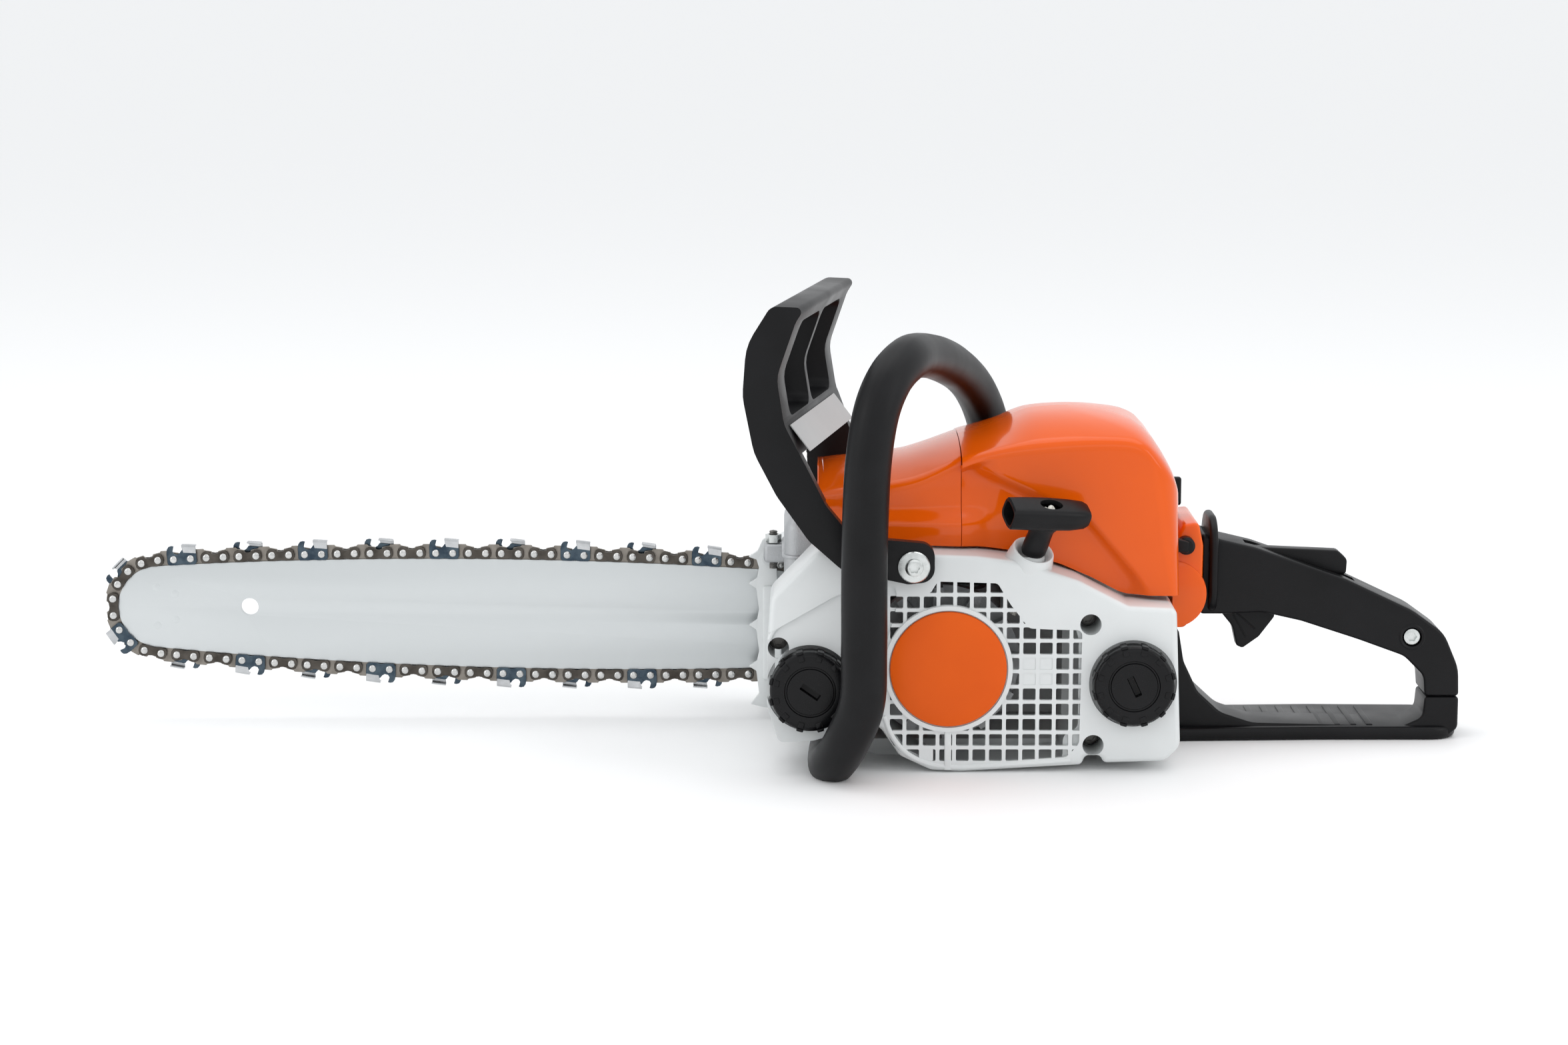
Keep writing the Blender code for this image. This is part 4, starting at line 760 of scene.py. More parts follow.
def ease(value, low, high):
    share = min(1.0, max(0.0, (value - low) / (high - low)))
    return share * share * (3 - 2 * share)


CROWN = smooth_line([(19, 157.6), (60, 162.5), (73, 165.5), (96, 173), (108, 175.5), (119, 180),
    (127, 184.5), (137, 187.6),
                     (156, 188.8), (175, 188), (191, 186.6), (199, 183.6), (204.5, 178.5), (209, 171),
                     (213.5, 160)], 5)
SHOULDER = smooth_line([(19, 148), (45, 151), (70, 155), (95, 166), (110, 171), (128, 174), (160, 176.5),
    (184, 176.5),
                        (194, 173), (202, 166), (209, 158), (213.5, 150)], 5)
CROWN = [tuple(spot) for spot in CROWN]
SHOULDER = [tuple(spot) for spot in SHOULDER]
SHELL_FOOT = [(19, 122.0), (95.5, 119.8), (104, 119.4), (128, 116), (150, 109), (166, 102), (181, 94.2),
    (186, 92.8), (214, 92.5)]


def side_relief(x, z):
    """How far the near side falls in behind its outermost plane."""
    ridge = level([(96, 166), (112, 160), (134.8, 149.5), (163, 136.6), (188, 107.0), (200, 92.0)], x)
    hollow = 5.5 * (1 - ease(z, ridge - 7.0, ridge + 1.0)) * ease(x, 92, 112) * (1 - ease(x, 186, 199))
    waist = 5.5 * ease(z, 131.0, 141.0) * (1 - ease(x, 96, 116))
    barrel = -2.6 * ease(x, 60, 92) * (1 - ease(x, 104, 124)) * (1 - ease(abs(z - 132.0), 2.0, 20.0))
    return hollow + waist + barrel


def crown_height(x, inward):
    share = min(1.0, inward / (SHELL_MIDDLE - SHELL_NEAR))
    top, edge = level(CROWN, x), level(SHOULDER, x)
    rolled = 4.0 * (1 - math.sqrt(max(0.0, 1 - (1 - min(1.0, inward / 4.0)) ** 2)))
    return top - (top - edge) * (1 - share) ** 2.4 - rolled


def shell_row(offset, height, corner, steps):
    """One level path from the front seam along the near side and round to the rear middle."""
    near, rear = SHELL_NEAR + offset, SHELL_REAR - offset
    corner = max(0.05, min(corner, SHELL_MIDDLE - near))
    straight, bend = steps
    row = [(SHELL_SEAM + (rear - corner - SHELL_SEAM) * (k / straight), near) for k in range(straight)]
    for k in range(bend + 1):
        angle = math.pi / 2 * k / bend
        row.append((rear - corner + corner * math.sin(angle), near + corner * (1 - math.cos(angle))))
    back = SHELL_MIDDLE - (near + corner)
    row += [(rear, near + corner + back * k / 8) for k in range(1, 9)]
    return [(x, y, height) if not callable(height) else (x, y, height(x, y)) for x, y in row]


def mirrored_rows(rows):
    """Adds the far side, mirrored across the shell's middle, to rows that end on it."""
    whole = []
    for row in rows:
        far = [(x, 2 * SHELL_MIDDLE - y, z) for x, y, z in row[:-1]]
        whole.append(list(row) + far[::-1])
    return whole


def give_wall(skin, degenerate=False):
    """Merges a skin, turns it outwards and gives it the shell's wall on the inside."""
    bm = bmesh.new()
    bm.from_mesh(skin.data)
    bmesh.ops.remove_doubles(bm, verts=bm.verts, dist=0.00003)
    if degenerate:
        bmesh.ops.dissolve_degenerate(bm, edges=bm.edges, dist=0.00002)
    bmesh.ops.recalc_face_normals(bm, faces=bm.faces)
    if sum(face.normal.z * face.calc_area() for face in bm.faces) < 0:
        bmesh.ops.reverse_faces(bm, faces=bm.faces)
    bm.to_mesh(skin.data)
    bm.free()
    thick = skin.modifiers.new("wall", "SOLIDIFY")
    thick.thickness = SHELL_WALL * MM
    thick.offset = -1.0
    return skin


def make_filter_cover():
    steps = (64, 14)
    rows = []
    levels = 40
    for k in range(levels + 1):
        share = k / levels

        def height(x, y, share=share):
            foot, top = level(SHELL_FOOT, x), crown_height(x, 0.0)
            return foot + (top - foot) * share

        flat = shell_row(0.0, height, 5.0 + (SHELL_CORNER - 5.0) * share, steps)
        row = []
        for x, y, z in flat:
            facing = 1 - ease(y, SHELL_NEAR + 1.0, SHELL_NEAR + 7.0)
            row.append((x, y + side_relief(x, z) * facing * (1 - ease(share, 0.93, 1.0)), z))
        rows.append(row)
    for inward in (*ROLL_STEPS, 58.2):
        rows.append(shell_row(inward, lambda x, y, s=inward: crown_height(x, s), SHELL_CORNER, steps))
    cover = bake(give_wall(loft("filter_cover_shell", mirrored_rows(rows)), degenerate=True))
    hole = prism("lock_hole", [circle((0.0, 138.0), 4.6)], 200.0, 232.0, "X")
    carve(cover, [hole])
    dress(cover, "glossy_orange_shell", replaced=["filter_cover"], angle=38)


def make_cylinder_shroud():
    rows = []
    stations = [19.0 + 76.3 * k / 46 for k in range(47)]
    for k in range(35):
        share = k / 34
        row = []
        for x in stations:
            foot, top = level(SHELL_FOOT, x), crown_height(x, 0.0)
            z = foot + (top - foot) * share
            row.append((x, SHELL_NEAR + side_relief(x, z), z))
        rows.append(row)
    edge = [(x, y) for x, y, z in rows[-1]]
    for inward in (*ROLL_STEPS, SHELL_MIDDLE - SHELL_NEAR):
        share = inward / (SHELL_MIDDLE - SHELL_NEAR)
        rows.append([(x, y + (SHELL_MIDDLE - y) * share, crown_height(x, inward)) for x, y in edge])
    rows = [[(19.6, y + 1.0, z - 0.8 * (index > 34)) for x, y, z in row[:1]] + row for index,
        row in enumerate(rows)]
    far = [[(x, 2 * SHELL_MIDDLE - y, z) for x, y, z in row] for row in rows[:-1]][::-1]
    skin = give_wall(loft("cylinder_shroud_shell", rows + far))
    dress(skin, "glossy_orange_shell", replaced=["cylinder_shroud"], angle=38)


# ---------------------------------------------------------------- fan housing


def grid_tree():
    """Rounded blocks on a grid: the cutters of a pierced panel."""
    tree = bpy.data.node_groups.new("pierced_grid", "GeometryNodeTree")
    face = tree.interface
    keys = {}
    for name, kind in (
        ("Columns", "Int"), ("Rows", "Int"), ("Pitch Across", "Float"), ("Pitch Up", "Float"),
        ("Repeated Shape", "Object")
    ):
        keys[name] = face.new_socket(name, in_out="INPUT", socket_type="NodeSocket" + kind).identifier
    face.new_socket("Geometry", in_out="OUTPUT", socket_type="NodeSocketGeometry")
    given = tree.nodes.new("NodeGroupInput")
    made = tree.nodes.new("NodeGroupOutput")
    link = tree.links.new
    across = tree.nodes.new("GeometryNodeMeshLine")
    up = tree.nodes.new("GeometryNodeMeshLine")
    step_across = tree.nodes.new("ShaderNodeCombineXYZ")
    step_up = tree.nodes.new("ShaderNodeCombineXYZ")
    link(given.outputs["Pitch Across"], step_across.inputs["X"])
    link(given.outputs["Pitch Up"], step_up.inputs["Z"])
    link(given.outputs["Columns"], across.inputs["Count"])
    link(given.outputs["Rows"], up.inputs["Count"])
    link(step_across.outputs["Vector"], across.inputs["Offset"])
    link(step_up.outputs["Vector"], up.inputs["Offset"])
    columns = tree.nodes.new("GeometryNodeInstanceOnPoints")
    rows = tree.nodes.new("GeometryNodeInstanceOnPoints")
    info = tree.nodes.new("GeometryNodeObjectInfo")
    real = tree.nodes.new("GeometryNodeRealizeInstances")
    link(given.outputs["Repeated Shape"], info.inputs["Object"])
    link(across.outputs["Mesh"], columns.inputs["Points"])
    link(info.outputs["Geometry"], columns.inputs["Instance"])
    link(up.outputs["Mesh"], rows.inputs["Points"])
    link(columns.outputs["Instances"], rows.inputs["Instance"])
    link(rows.outputs["Instances"], real.inputs["Geometry"])
    link(real.outputs["Geometry"], made.inputs["Geometry"])
    return tree, keys


GRID, GRID_KEYS = grid_tree()


def pierced_blocks(name, corner, columns, rows, pitch, hole, y_range):
    """A grid of rounded hole cutters whose first hole is centred on a design corner (x, z)."""
    half = (hole[0] / 2, hole[1] / 2)
    outline = rounded([(-half[0], -half[1], 0.7), (half[0], -half[1], 0.7), half + (0.7,), (-half[0],
        half[1], 0.7)], 45)
    shape = at_origin(prism(name + "_hole", [outline], *y_range))
    thing = hold(name, bmesh.new())
    step = thing.modifiers.new("grid", "NODES")
    step.node_group = GRID
    for key, value in (
        ("Columns", columns), ("Rows", rows), ("Pitch Across", pitch[0] * MM), ("Pitch Up", pitch[1] * MM),
        ("Repeated Shape", shape),
    ):
        step[GRID_KEYS[key]] = value
    bake(thing)
    bpy.data.objects.remove(shape, do_unlink=True)
    place = Vector((corner[0], 0.0, corner[1])) + FRAME_SHIFT
    thing.data.transform(Matrix.Translation(place * MM))
    return thing


CAPS = (("oil_cap", (14.0, 46.0), -35.0), ("fuel_cap", (187.0, 49.0), -65.0))
FAN_SCREWS = ((164.0, 81.0), (-3.0, 68.0), (166.0, 15.0))
BADGE = (88.0, 57.0)


def make_fan_housing():
    outline = rounded(
        [(-9, 66, 4), (-9, 36, 8), (-3, 16, 4), (16, 17, 4), (50, 27, 8), (62, 9, 8), (79, 1, 8),
            (95, 0.2, 3)]
        + [(160, 4, 3), (162, 9, 3), (170, 9, 3), (172, 5, 3), (205, 6, 8), (213, 14, 8), (210, 89.5, 4)]
        + [(184, 91, 4), (157, 105, 12), (126, 115, 20), (103, 118, 8), (18, 121, 8), (-7, 95, 8)]
    )
    housing = prism("fan_housing_casing", [outline], -98.0, -55.0)
    bake(round_edges(housing, 3.2, 4, 50.0))
    room = rounded(
        [(-5, 66, 4), (-5, 38, 6), (1, 20, 4), (20, 21, 4), (52, 31, 8), (66, 12, 8), (80, 5, 8),
            (96, 4, 3)]
        + [(150, 7, 3), (150, 20, 6), (158, 24, 4), (158, 72, 6), (150, 100, 8), (124, 110, 12),
          (102, 113, 6)]
        + [(82, 113, 3), (78, 103, 3), (60, 103, 3), (56, 116, 3), (24, 116, 8), (-3, 92, 8)]
    )
    tools = [prism("fan_room", [room], -95.4, -50.0)]
    field = rounded(
        [(50, 30, 6), (60, 13, 6), (79, 5.5, 8), (95, 4.6, 4), (152, 8.5, 5), (158.5, 16, 4),
            (159.5, 78, 3), (142.5, 78.4, 2)]
        + [(131, 79, 4), (121, 92, 6), (114, 103.5, 3), (82, 104.5, 2), (78, 98, 3), (50, 96.5, 2)]
    )
    ring = circle(BADGE, 34.6, 72)
    holes = pierced_blocks("grille_holes", (60.2, 9.6), 12, 12, (8.9, 8.35), (6.9, 6.45), (-103.0, -93.0))
    carve(holes, [prism("grille_field", [field, ring[::-1]], -102.0, -94.0)], "INTERSECT")
    tools.append(holes)
    for name, spot, _ in CAPS:
        tools.append(prism(name + "_room", [circle(spot, 23.6, 64)], -110.0, -93.7))
        tools.append(prism(name + "_neck_way", [circle(spot, 18.3, 48)], -110.0, -40.0))
    for index, spot in enumerate(FAN_SCREWS):
        tools.append(prism(f"screw_well_{index}", [circle(spot, 5.7, 36)], -110.0, -72.0))
        tools.append(prism(f"screw_way_{index}", [circle(spot, 2.8, 20)], -80.0, -50.0))
    tools.append(prism("guard_screw_way", [circle((69.0, 114.0), 3.3, 20)], -110.0, -60.0))
    tools.append(prism("rope_way", [circle((130.5, -85.5), 6.5, 32)], 80.0, 130.0, "Z"))
    panel = rounded([(-12, 74, 2), (29, 97.5, 14), (60, 103, 4), (60, 90, 0), (52, 60, 0), (44, 30, 0),
        (44, 10, 0), (-14, 10, 0)])
    tools.append(prism("oil_panel", [panel], -106.0, -95.9))
    carve(housing, tools)
    rim = prism("badge_rim", [circle(BADGE, 34.4, 80), circle(BADGE, 32.0, 80)[::-1]], -99.6, -95.2)
    spine = slab("grille_spine", (86.2, -98.9, 1.5), (89.8, -95.6, 25.0), 0.5)
    edge = [Vector((x, -97.4, z)) for x, z in ((53.5, 31), (58, 20), (66, 10.5), (78, 4.8), (92, 3.0),
        (108, 3.6), (154, 6.8))]
    bead = swept("grille_bead", smooth_line(edge, 8), 1.55, 10)
    fold = [Vector((x, -96.4, z)) for x, z in ((-8, 72.5), (-4, 79), (8, 87), (22, 94.5), (34, 99.5),
        (48, 102))]
    crease = swept("oil_panel_lip", smooth_line(fold, 8), 1.3, 10)
    collar = turned("rope_collar", [(6.6, 9.5), (8.3, 9.9), (9.4, 8.6), (9.9, 2.0), (11.5, -8.0),
        (6.6, -8.0)], (130.5, -86.0, 107.0), "Z", 40, ring=True)
    plugs = [
        prism("grille_plug", [rounded([(x, z, 0.6), (x + 7.4, z, 0.6), (x + 7.4, z + 6.9, 0.6),
            (x, z + 6.9, 0.6)])], -97.6, -95.2)
        for x, z in ((127.9, 56.2), (136.8, 56.2), (127.9, 47.8), (136.8, 47.8), (72.7, 6.4))
    ]
    parts = [housing, rim, spine, bead, crease, collar, *plugs]
    for name, spot, _ in CAPS:
        neck = [(14.6, -6.0), (14.6, 30.0), (17.9, 30.0), (17.9, -4.0), (16.9, -6.0)]
        parts.append(turned(name + "_lip", neck, (spot[0], -90.0, spot[1]), "Y", 48, ring=True))
    whole = merge("fan_housing_casing", parts)
    dress(whole, "satin_grey_casing", replaced=["fan_housing"], angle=32)


def swept(name, path, radius, sides=12, closed_ends=True, flat=1.0, radii=None):
    """A round bar along a path of design points, without twist."""
    path = [Vector(point) for point in path]
    headings = [(b - a).normalized() for a, b in zip(path, path[1:])]
    headings = [headings[0]] + [(a + b).normalized() for a, b in zip(headings,
        headings[1:])] + [headings[-1]]
    side = headings[0].orthogonal().normalized()
    rows = []
    for index, (point, heading) in enumerate(zip(path, headings)):
        side = (side - heading * side.dot(heading)).normalized()
        up = heading.cross(side)
        reach = radius if radii is None else radii[index]
        rows.append([
            point + side * math.cos(math.tau * k / sides) * reach + up * math.sin(math.tau * k / sides) * reach * flat
            for k in range(sides)
        ])
    return loft(name, rows, closed_rows=True, caps=closed_ends)



# ---------------------------------------------------------------- handles and guard


def make_front_handle():
    """Rubber-covered steel tube with two fine mould seams along it."""
    knots = [
        (26.0, -56.0, 4.0), (25.0, -84.0, 4.0), (26.0, -112.0, 9.0), (33.0, -129.0, 24.0),
        (41.0, -135.0, 46.0),
        (42.0, -135.5, 75.0), (42.0, -135.5, 110.0), (42.5, -135.5, 145.0), (44.0, -135.0, 175.0),
        (48.0, -132.0, 200.0), (55.0, -122.0, 216.0), (64.0, -102.0, 223.5), (72.0, -70.0, 222.5),
        (84.0, -30.0, 216.0), (97.0, 8.0, 205.0), (108.0, 38.0, 190.0), (116.0, 56.0, 170.0),
        (120.0, 60.5, 145.0), (120.0, 60.5, 118.0), (120.0, 60.5, 96.0),
    ]
    path = smooth_line(knots, 7)
    sides, radius = 40, 12.2
    headings = [(b - a).normalized() for a, b in zip(path, path[1:])]
    headings = [headings[0]] + [(a + b).normalized() for a, b in zip(headings,
        headings[1:])] + [headings[-1]]
    side = Vector((1.0, 0.0, 0.0))
    rows = []
    for point, heading in zip(path, headings):
        side = (side - heading * side.dot(heading)).normalized()
        up = heading.cross(side)
        row = []
        for k in range(sides):
            angle = math.tau * k / sides
            seam = 0.32 if k in (7, 27) else 0.0
            reach = radius + seam - 0.5 * abs(math.sin(angle)) ** 3
            spot = point + side * math.cos(angle) * reach + up * math.sin(angle) * reach
            row.append(Vector((spot.x, spot.y, max(spot.z, 0.0))))
        rows.append(row)
    tube = loft("front_handle_grip", rows, closed_rows=True, caps=True)
    carve(tube, [prism("handle_screw_way", [circle((120.0, 103.0), 3.2, 20)], 40.0, 90.0)])
    dress(tube, "black_grip_rubber", replaced=["front_handle"], angle=40)


GUARD_SIDE = [
    (-7, 252.8, 6), (-20, 232, 30), (-22, 205, 30), (-16, 175, 30), (-4, 152, 20), (13, 128, 12),
    (31, 112, 12),
    (66, 104.5, 6), (80, 106, 8), (80, 126, 8), (66, 127.5, 4), (36, 130, 10), (22, 147, 12), (13, 165, 10),
    (0, 190, 20), (-4, 215, 20), (6, 244, 10), (11, 252, 4),
]
GUARD_NEAR, GUARD_FAR, GUARD_SLANT = -107.0, 49.0, 0.19


def guard_shift(y, z):
    return GUARD_SLANT * min(1.0, max(0.0, (z - 125.0) / 45.0)) * (y - GUARD_NEAR)


def make_hand_guard():
    guard = prism("hand_guard_shield", [rounded(GUARD_SIDE, 10)], GUARD_NEAR, GUARD_FAR)
    bm = bmesh.new()
    bm.from_mesh(guard.data)
    bmesh.ops.triangulate(bm, faces=bm.faces)
    for corner in bm.verts:
        spot = corner.co / MM - FRAME_SHIFT
        corner.co.x += guard_shift(spot.y, spot.z) * MM
    bm.to_mesh(guard.data)
    bm.free()
    tools = [
        prism("arm_gap", [[(-60, 60), (110, 60), (110, 174.0), (-60, 174.0)]],
            GUARD_NEAR + 7.5, GUARD_FAR - 7.5),
        slab("near_window", (-60.0, -88.0, 192.0), (60.0, -31.0, 243.0), 6.0),
        slab("far_window", (-60.0, -25.0, 192.0), (60.0, 32.0, 243.0), 6.0),
        prism("pivot_way", [circle((69.0, 114.0), 4.4, 24)], -130.0, 70.0),
    ]
    carve(guard, tools, solver="MANIFOLD")
    bm = bmesh.new()
    bm.from_mesh(guard.data)
    bmesh.ops.remove_doubles(bm, verts=bm.verts, dist=0.00005)
    bmesh.ops.dissolve_limit(bm, angle_limit=math.radians(2.0), verts=bm.verts, edges=bm.edges)
    bm.to_mesh(guard.data)
    bm.free()
    round_edges(guard, 3.0, 4, 40.0)
    dress(guard, "black_handle_plastic", "hand_guard", ["hand_guard"], angle=40)
    rows = []
    for share in (0.0, 0.5, 1.0):
        x, z = 11.6 - 10.6 * share, 174.6 + 14.0 * share
        rows.append([(x + guard_shift(y, z) + 0.35, y, z) for y in (-97.0, -60.0, -20.0, 33.0)])
    label = loft("guard_blank_label", rows)
    film = label.modifiers.new("film", "SOLIDIFY")
    film.thickness = 0.5 * MM
    film.offset = 0.0
    dress(label, "plain_label_film", "hand_guard", angle=30)


def make_rear_handle():
    top = [(231.5, 117, 2), (243, 113, 6), (262, 108.5, 20), (312, 91, 20), (350, 73, 20), (368, 60, 20)]
    top += [(376.5, 40, 24), (377, 24.3, 0)]
    under = [(358, 24.3, 0), (357, 36, 8), (346, 47, 12), (320, 56.5, 20), (288, 67, 12), (266, 72, 16)]
    under += [(243, 71, 6), (231.5, 71, 2)]
    grip = prism("rear_grip", [rounded(top + under, 8)], -16.0, 16.0)
    bake(round_edges(grip, 7.0, 5, 50.0))
    tools = [slab("trigger_room", (243.5, -5.5, 40.0), (284.0, 5.3, 93.0), 0.6)]
    tools.append(prism("lockout_room", [[(257, 91), (281, 84.5), (319, 79), (319, 125), (257, 125)]],
        -5.5, 5.5))
    tools.append(prism("screw_well", [circle((350.0, 58.0), 5.4, 36)], -30.0, -12.0))
    tools.append(prism("screw_way", [circle((350.0, 58.0), 2.7, 20)], -20.0, 9.0))
    carve(grip, tools)
    collar = prism("grip_collar", [rounded([(-25, 72, 14), (25, 72, 14), (25, 126, 18), (-25, 126, 18)],
        8)], 235.7, 240.3, "X")
    bake(round_edges(collar, 1.9, 4, 50.0))
    carve(collar, [slab("collar_way", (230.0, -12.0, 80.0), (250.0, 12.0, 104.0), 3.0)])
    ring = turned("screw_ring", [(5.5, 0.0), (6.6, -0.5), (7.3, 0.0), (7.3, 1.5), (5.5, 1.5)],
        (350.0, -16.1, 58.0), "Y", 40, ring=True)
    whole = merge("rear_handle_grip_cover", [grip, collar, ring])
    dress(whole, "black_handle_plastic", replaced=["rear_handle_grip"], angle=36)

    side = [(213.3, 0, 0), (370, 0, 6), (377, 6, 5), (377, 24, 0), (358, 24, 0), (357, 12, 6), (346, 7, 8)]
    side += [(262, 9, 20), (244, 15, 14), (231, 27, 12), (223, 44, 12), (220, 62, 2), (213.3, 62, 0)]
    base = prism("rear_base", [rounded(side, 8)], -16.0, 16.0)
    bake(round_edges(base, 4.0, 4, 50.0))
    plan = [(213.3, -24, 0), (300, -20, 30), (377, -20, 16), (377, 42, 20), (300, 44, 30), (213.3, 40, 0)]
    foot = prism("rear_foot", [rounded(plan, 8)], 0.0, 7.5, "Z")
    bake(round_edges(foot, 2.6, 3, 50.0))
    treads = [slab(f"tread_{k}", (254.0 + 9.0 * k, -14.0, 6.8), (257.6 + 9.0 * k, 36.0, 8.1),
        0.6) for k in range(9)]
    whole = merge("rear_handle_base_loop", [base, foot, *treads])
    dress(whole, "black_handle_plastic", replaced=["rear_handle_base"], angle=36)


def make_neck():
    side = [(214.2, 66, 2), (222, 66, 4), (231, 84, 12), (231.2, 112, 10), (228.5, 125, 3), (220, 124, 3),
        (214.2, 112, 2)]
    neck = prism("neck_block", [rounded(side, 8)], -30.0, 30.0)
    bake(round_edges(neck, 4.0, 4, 50.0))
    ear = turned("neck_ear", [(0, -32.6), (16.0, -32.2), (18.6, -31.0), (19.0, -28.0), (19.0, -20.0),
        (0, -20.0)], (214.6, 0.0, 85.0), "Y", 48)
    carve(ear, [slab("ear_trim", (160.0, -60.0, 40.0), (214.3, 0.0, 140.0))])
    whole = merge("handle_neck_cover", [neck, ear])
    dress(whole, "glossy_orange_shell", replaced=["handle_neck"], angle=36)


def make_controls():
    outline = rounded(
        [(244.5, 84, 2), (244.5, 70, 3), (251, 62, 8), (253.5, 51, 2), (257, 49.5, 2), (266, 56, 4),
            (275, 68, 3)]
        + [(272, 74, 3), (256, 91, 3), (246, 91, 3)], 10
    )
    trigger = prism("trigger_blade", [outline], -4.8, 4.8)
    bake(round_edges(trigger, 1.1, 3, 40.0))
    ribs = [swept(f"trigger_rib_{k}", [(249.5 + k * 1.1, side * 4.75, 72.0),
        (258.5 + k * 5.2, side * 4.75, 56.0 + k * 4.4)], 0.5, 8)
            for k in range(2) for side in (-1, 1)]
    dress(merge("throttle_trigger_blade", [trigger, *ribs]), "black_handle_plastic", "throttle_trigger",
          ["throttle_trigger"], angle=36)
    outline = rounded(
        [(258.5, 94, 2), (258.5, 104, 2), (263, 107, 3), (309, 105, 4), (314.5, 100, 4), (314, 91.5, 2),
            (300, 91.5, 4)]
        + [(286, 96, 6), (270, 94, 2)], 10
    )
    lockout = prism("trigger_lockout_bar", [outline], -4.8, 4.8)
    round_edges(lockout, 1.1, 3, 40.0)
    dress(lockout, "black_handle_plastic", "trigger_lockout", ["trigger_lockout"],
        angle=36)
    hub = turned("lever_hub", [(0, -37.8), (3.6, -37.6), (4.9, -36.4), (4.9, -30.6), (0, -30.6)],
        (221.0, 0.0, 113.0), "Y", 32)
    arm = prism("lever_arm", [rounded([(214.5, 110.5, 2), (222, 110, 1), (222, 116, 1), (215, 118, 2)])],
        -41.5, -35.0)
    bake(round_edges(arm, 0.9, 2, 40.0))
    dress(merge("master_lever_knob", [hub, arm]), "black_handle_plastic", "master_control_lever",
          ["master_control_lever"], angle=36)
    stem = turned("lock_stem", [(0, -8.0), (4.0, -8.0), (4.0, 1.3), (8.4, 1.3), (9.0, 2.0), (9.0, 3.4),
        (8.2, 4.0), (0, 4.0)], (213.0, 0.0, 138.0), "X", 36)
    wing = slab("lock_wing", (216.0, -2.4, 130.0), (221.5, 2.4, 146.0), 1.5)
    dress(merge("cover_twist_lock", [stem, wing]), "black_handle_plastic", "twist_lock", ["twist_lock"],
          angle=36)


# ---------------------------------------------------------------- caps, badge, starter and screws


def make_caps():
    for name, spot, slant in CAPS:
        profile = [(0, -9.0), (12.3, -9.0), (12.7, -8.2), (13.5, -8.2), (13.9, -9.0), (18.6, -9.3),
            (20.4, -8.9)]
        profile += [(21.4, -7.8), (21.7, -6.0), (21.7, 1.4), (13.9, 1.6), (13.9, 15.5), (0, 15.5)]
        cap = turned(name + "_body", profile, (spot[0], -98.0, spot[1]), "Y", 72)
        turn = Matrix.Rotation(math.radians(-slant), 4, "Y")
        slot = slab(name + "_coin_slot", (spot[0] - 5.8, -112.0, spot[1] - 1.9),
            (spot[0] + 5.8, -102.0, spot[1] + 1.9), 0.5, turn)
        carve(cap, [slot])
        knob = at_origin(slab("cap_knob", (-1.9, -9.0, -0.95), (1.9, 1.2, 0.8), 0.6))
        spots = []
        for k in range(12):
            angle = math.tau * (k + 0.5) / 12
            place = (spot[0] + 21.6 * math.cos(angle), -98.0, spot[1] + 21.6 * math.sin(angle))
            spots.append((place, (0.0, math.pi / 2 - angle, 0.0)))
        knobs = repeated(name + "_knobs", spots, knob, "black_moulded_cap")
        pad = at_origin(slab("cap_pad", (-1.7, -9.75, -2.4), (1.7, -8.9, 0.6), 0.4))
        tabs = [((spot[0] + 19.4 * math.cos(a), -98.0, spot[1] + 19.4 * math.sin(a)),
            (0.0, math.pi / 2 - a, 0.0))
                for a in (math.tau * (k + 0.5) / 12 for k in range(12))]
        pads = repeated(name + "_pads", tabs, pad, "black_moulded_cap")
        whole = merge(name + "_cover", [cap, knobs, pads])
        dress(whole, "black_moulded_cap", name, [name], angle=36)


def make_badge():
    """A plain crowned disc in the middle of the starter grille."""
    profile = [(0, -101.0), (20.0, -100.9), (30.0, -100.6), (31.0, -100.2), (31.3, -99.4), (31.3, -98.3),
        (0, -98.3)]
    badge = turned("starter_badge_disc", profile, (BADGE[0], 0.0, BADGE[1]), "Y", 96)
    dress(badge, "matt_orange_badge", replaced=["starter_badge"], angle=36)


def star_outline(radius, depth=0.82):
    """A six-lobed star socket."""
    return [
        (radius * (1 - (1 - depth) * (0.5 - 0.5 * math.cos(6 * math.tau * k / 72))) * math.cos(math.tau * k / 72),
         radius * (1 - (1 - depth) * (0.5 - 0.5 * math.cos(6 * math.tau * k / 72))) * math.sin(math.tau * k / 72))
        for k in range(72)
    ]


def star_screw(name, profile, centre, socket, face, depth):
    """A turned screw with a star socket sunk into its head."""
    screw = turned(name, profile, (centre[0], 0.0, centre[1]), "Y", 40)
    star = [(centre[0] + a, centre[1] + b) for a, b in star_outline(socket)]
    return carve(screw, [prism(name + "_socket", [star], face - 3.0, face + depth)])


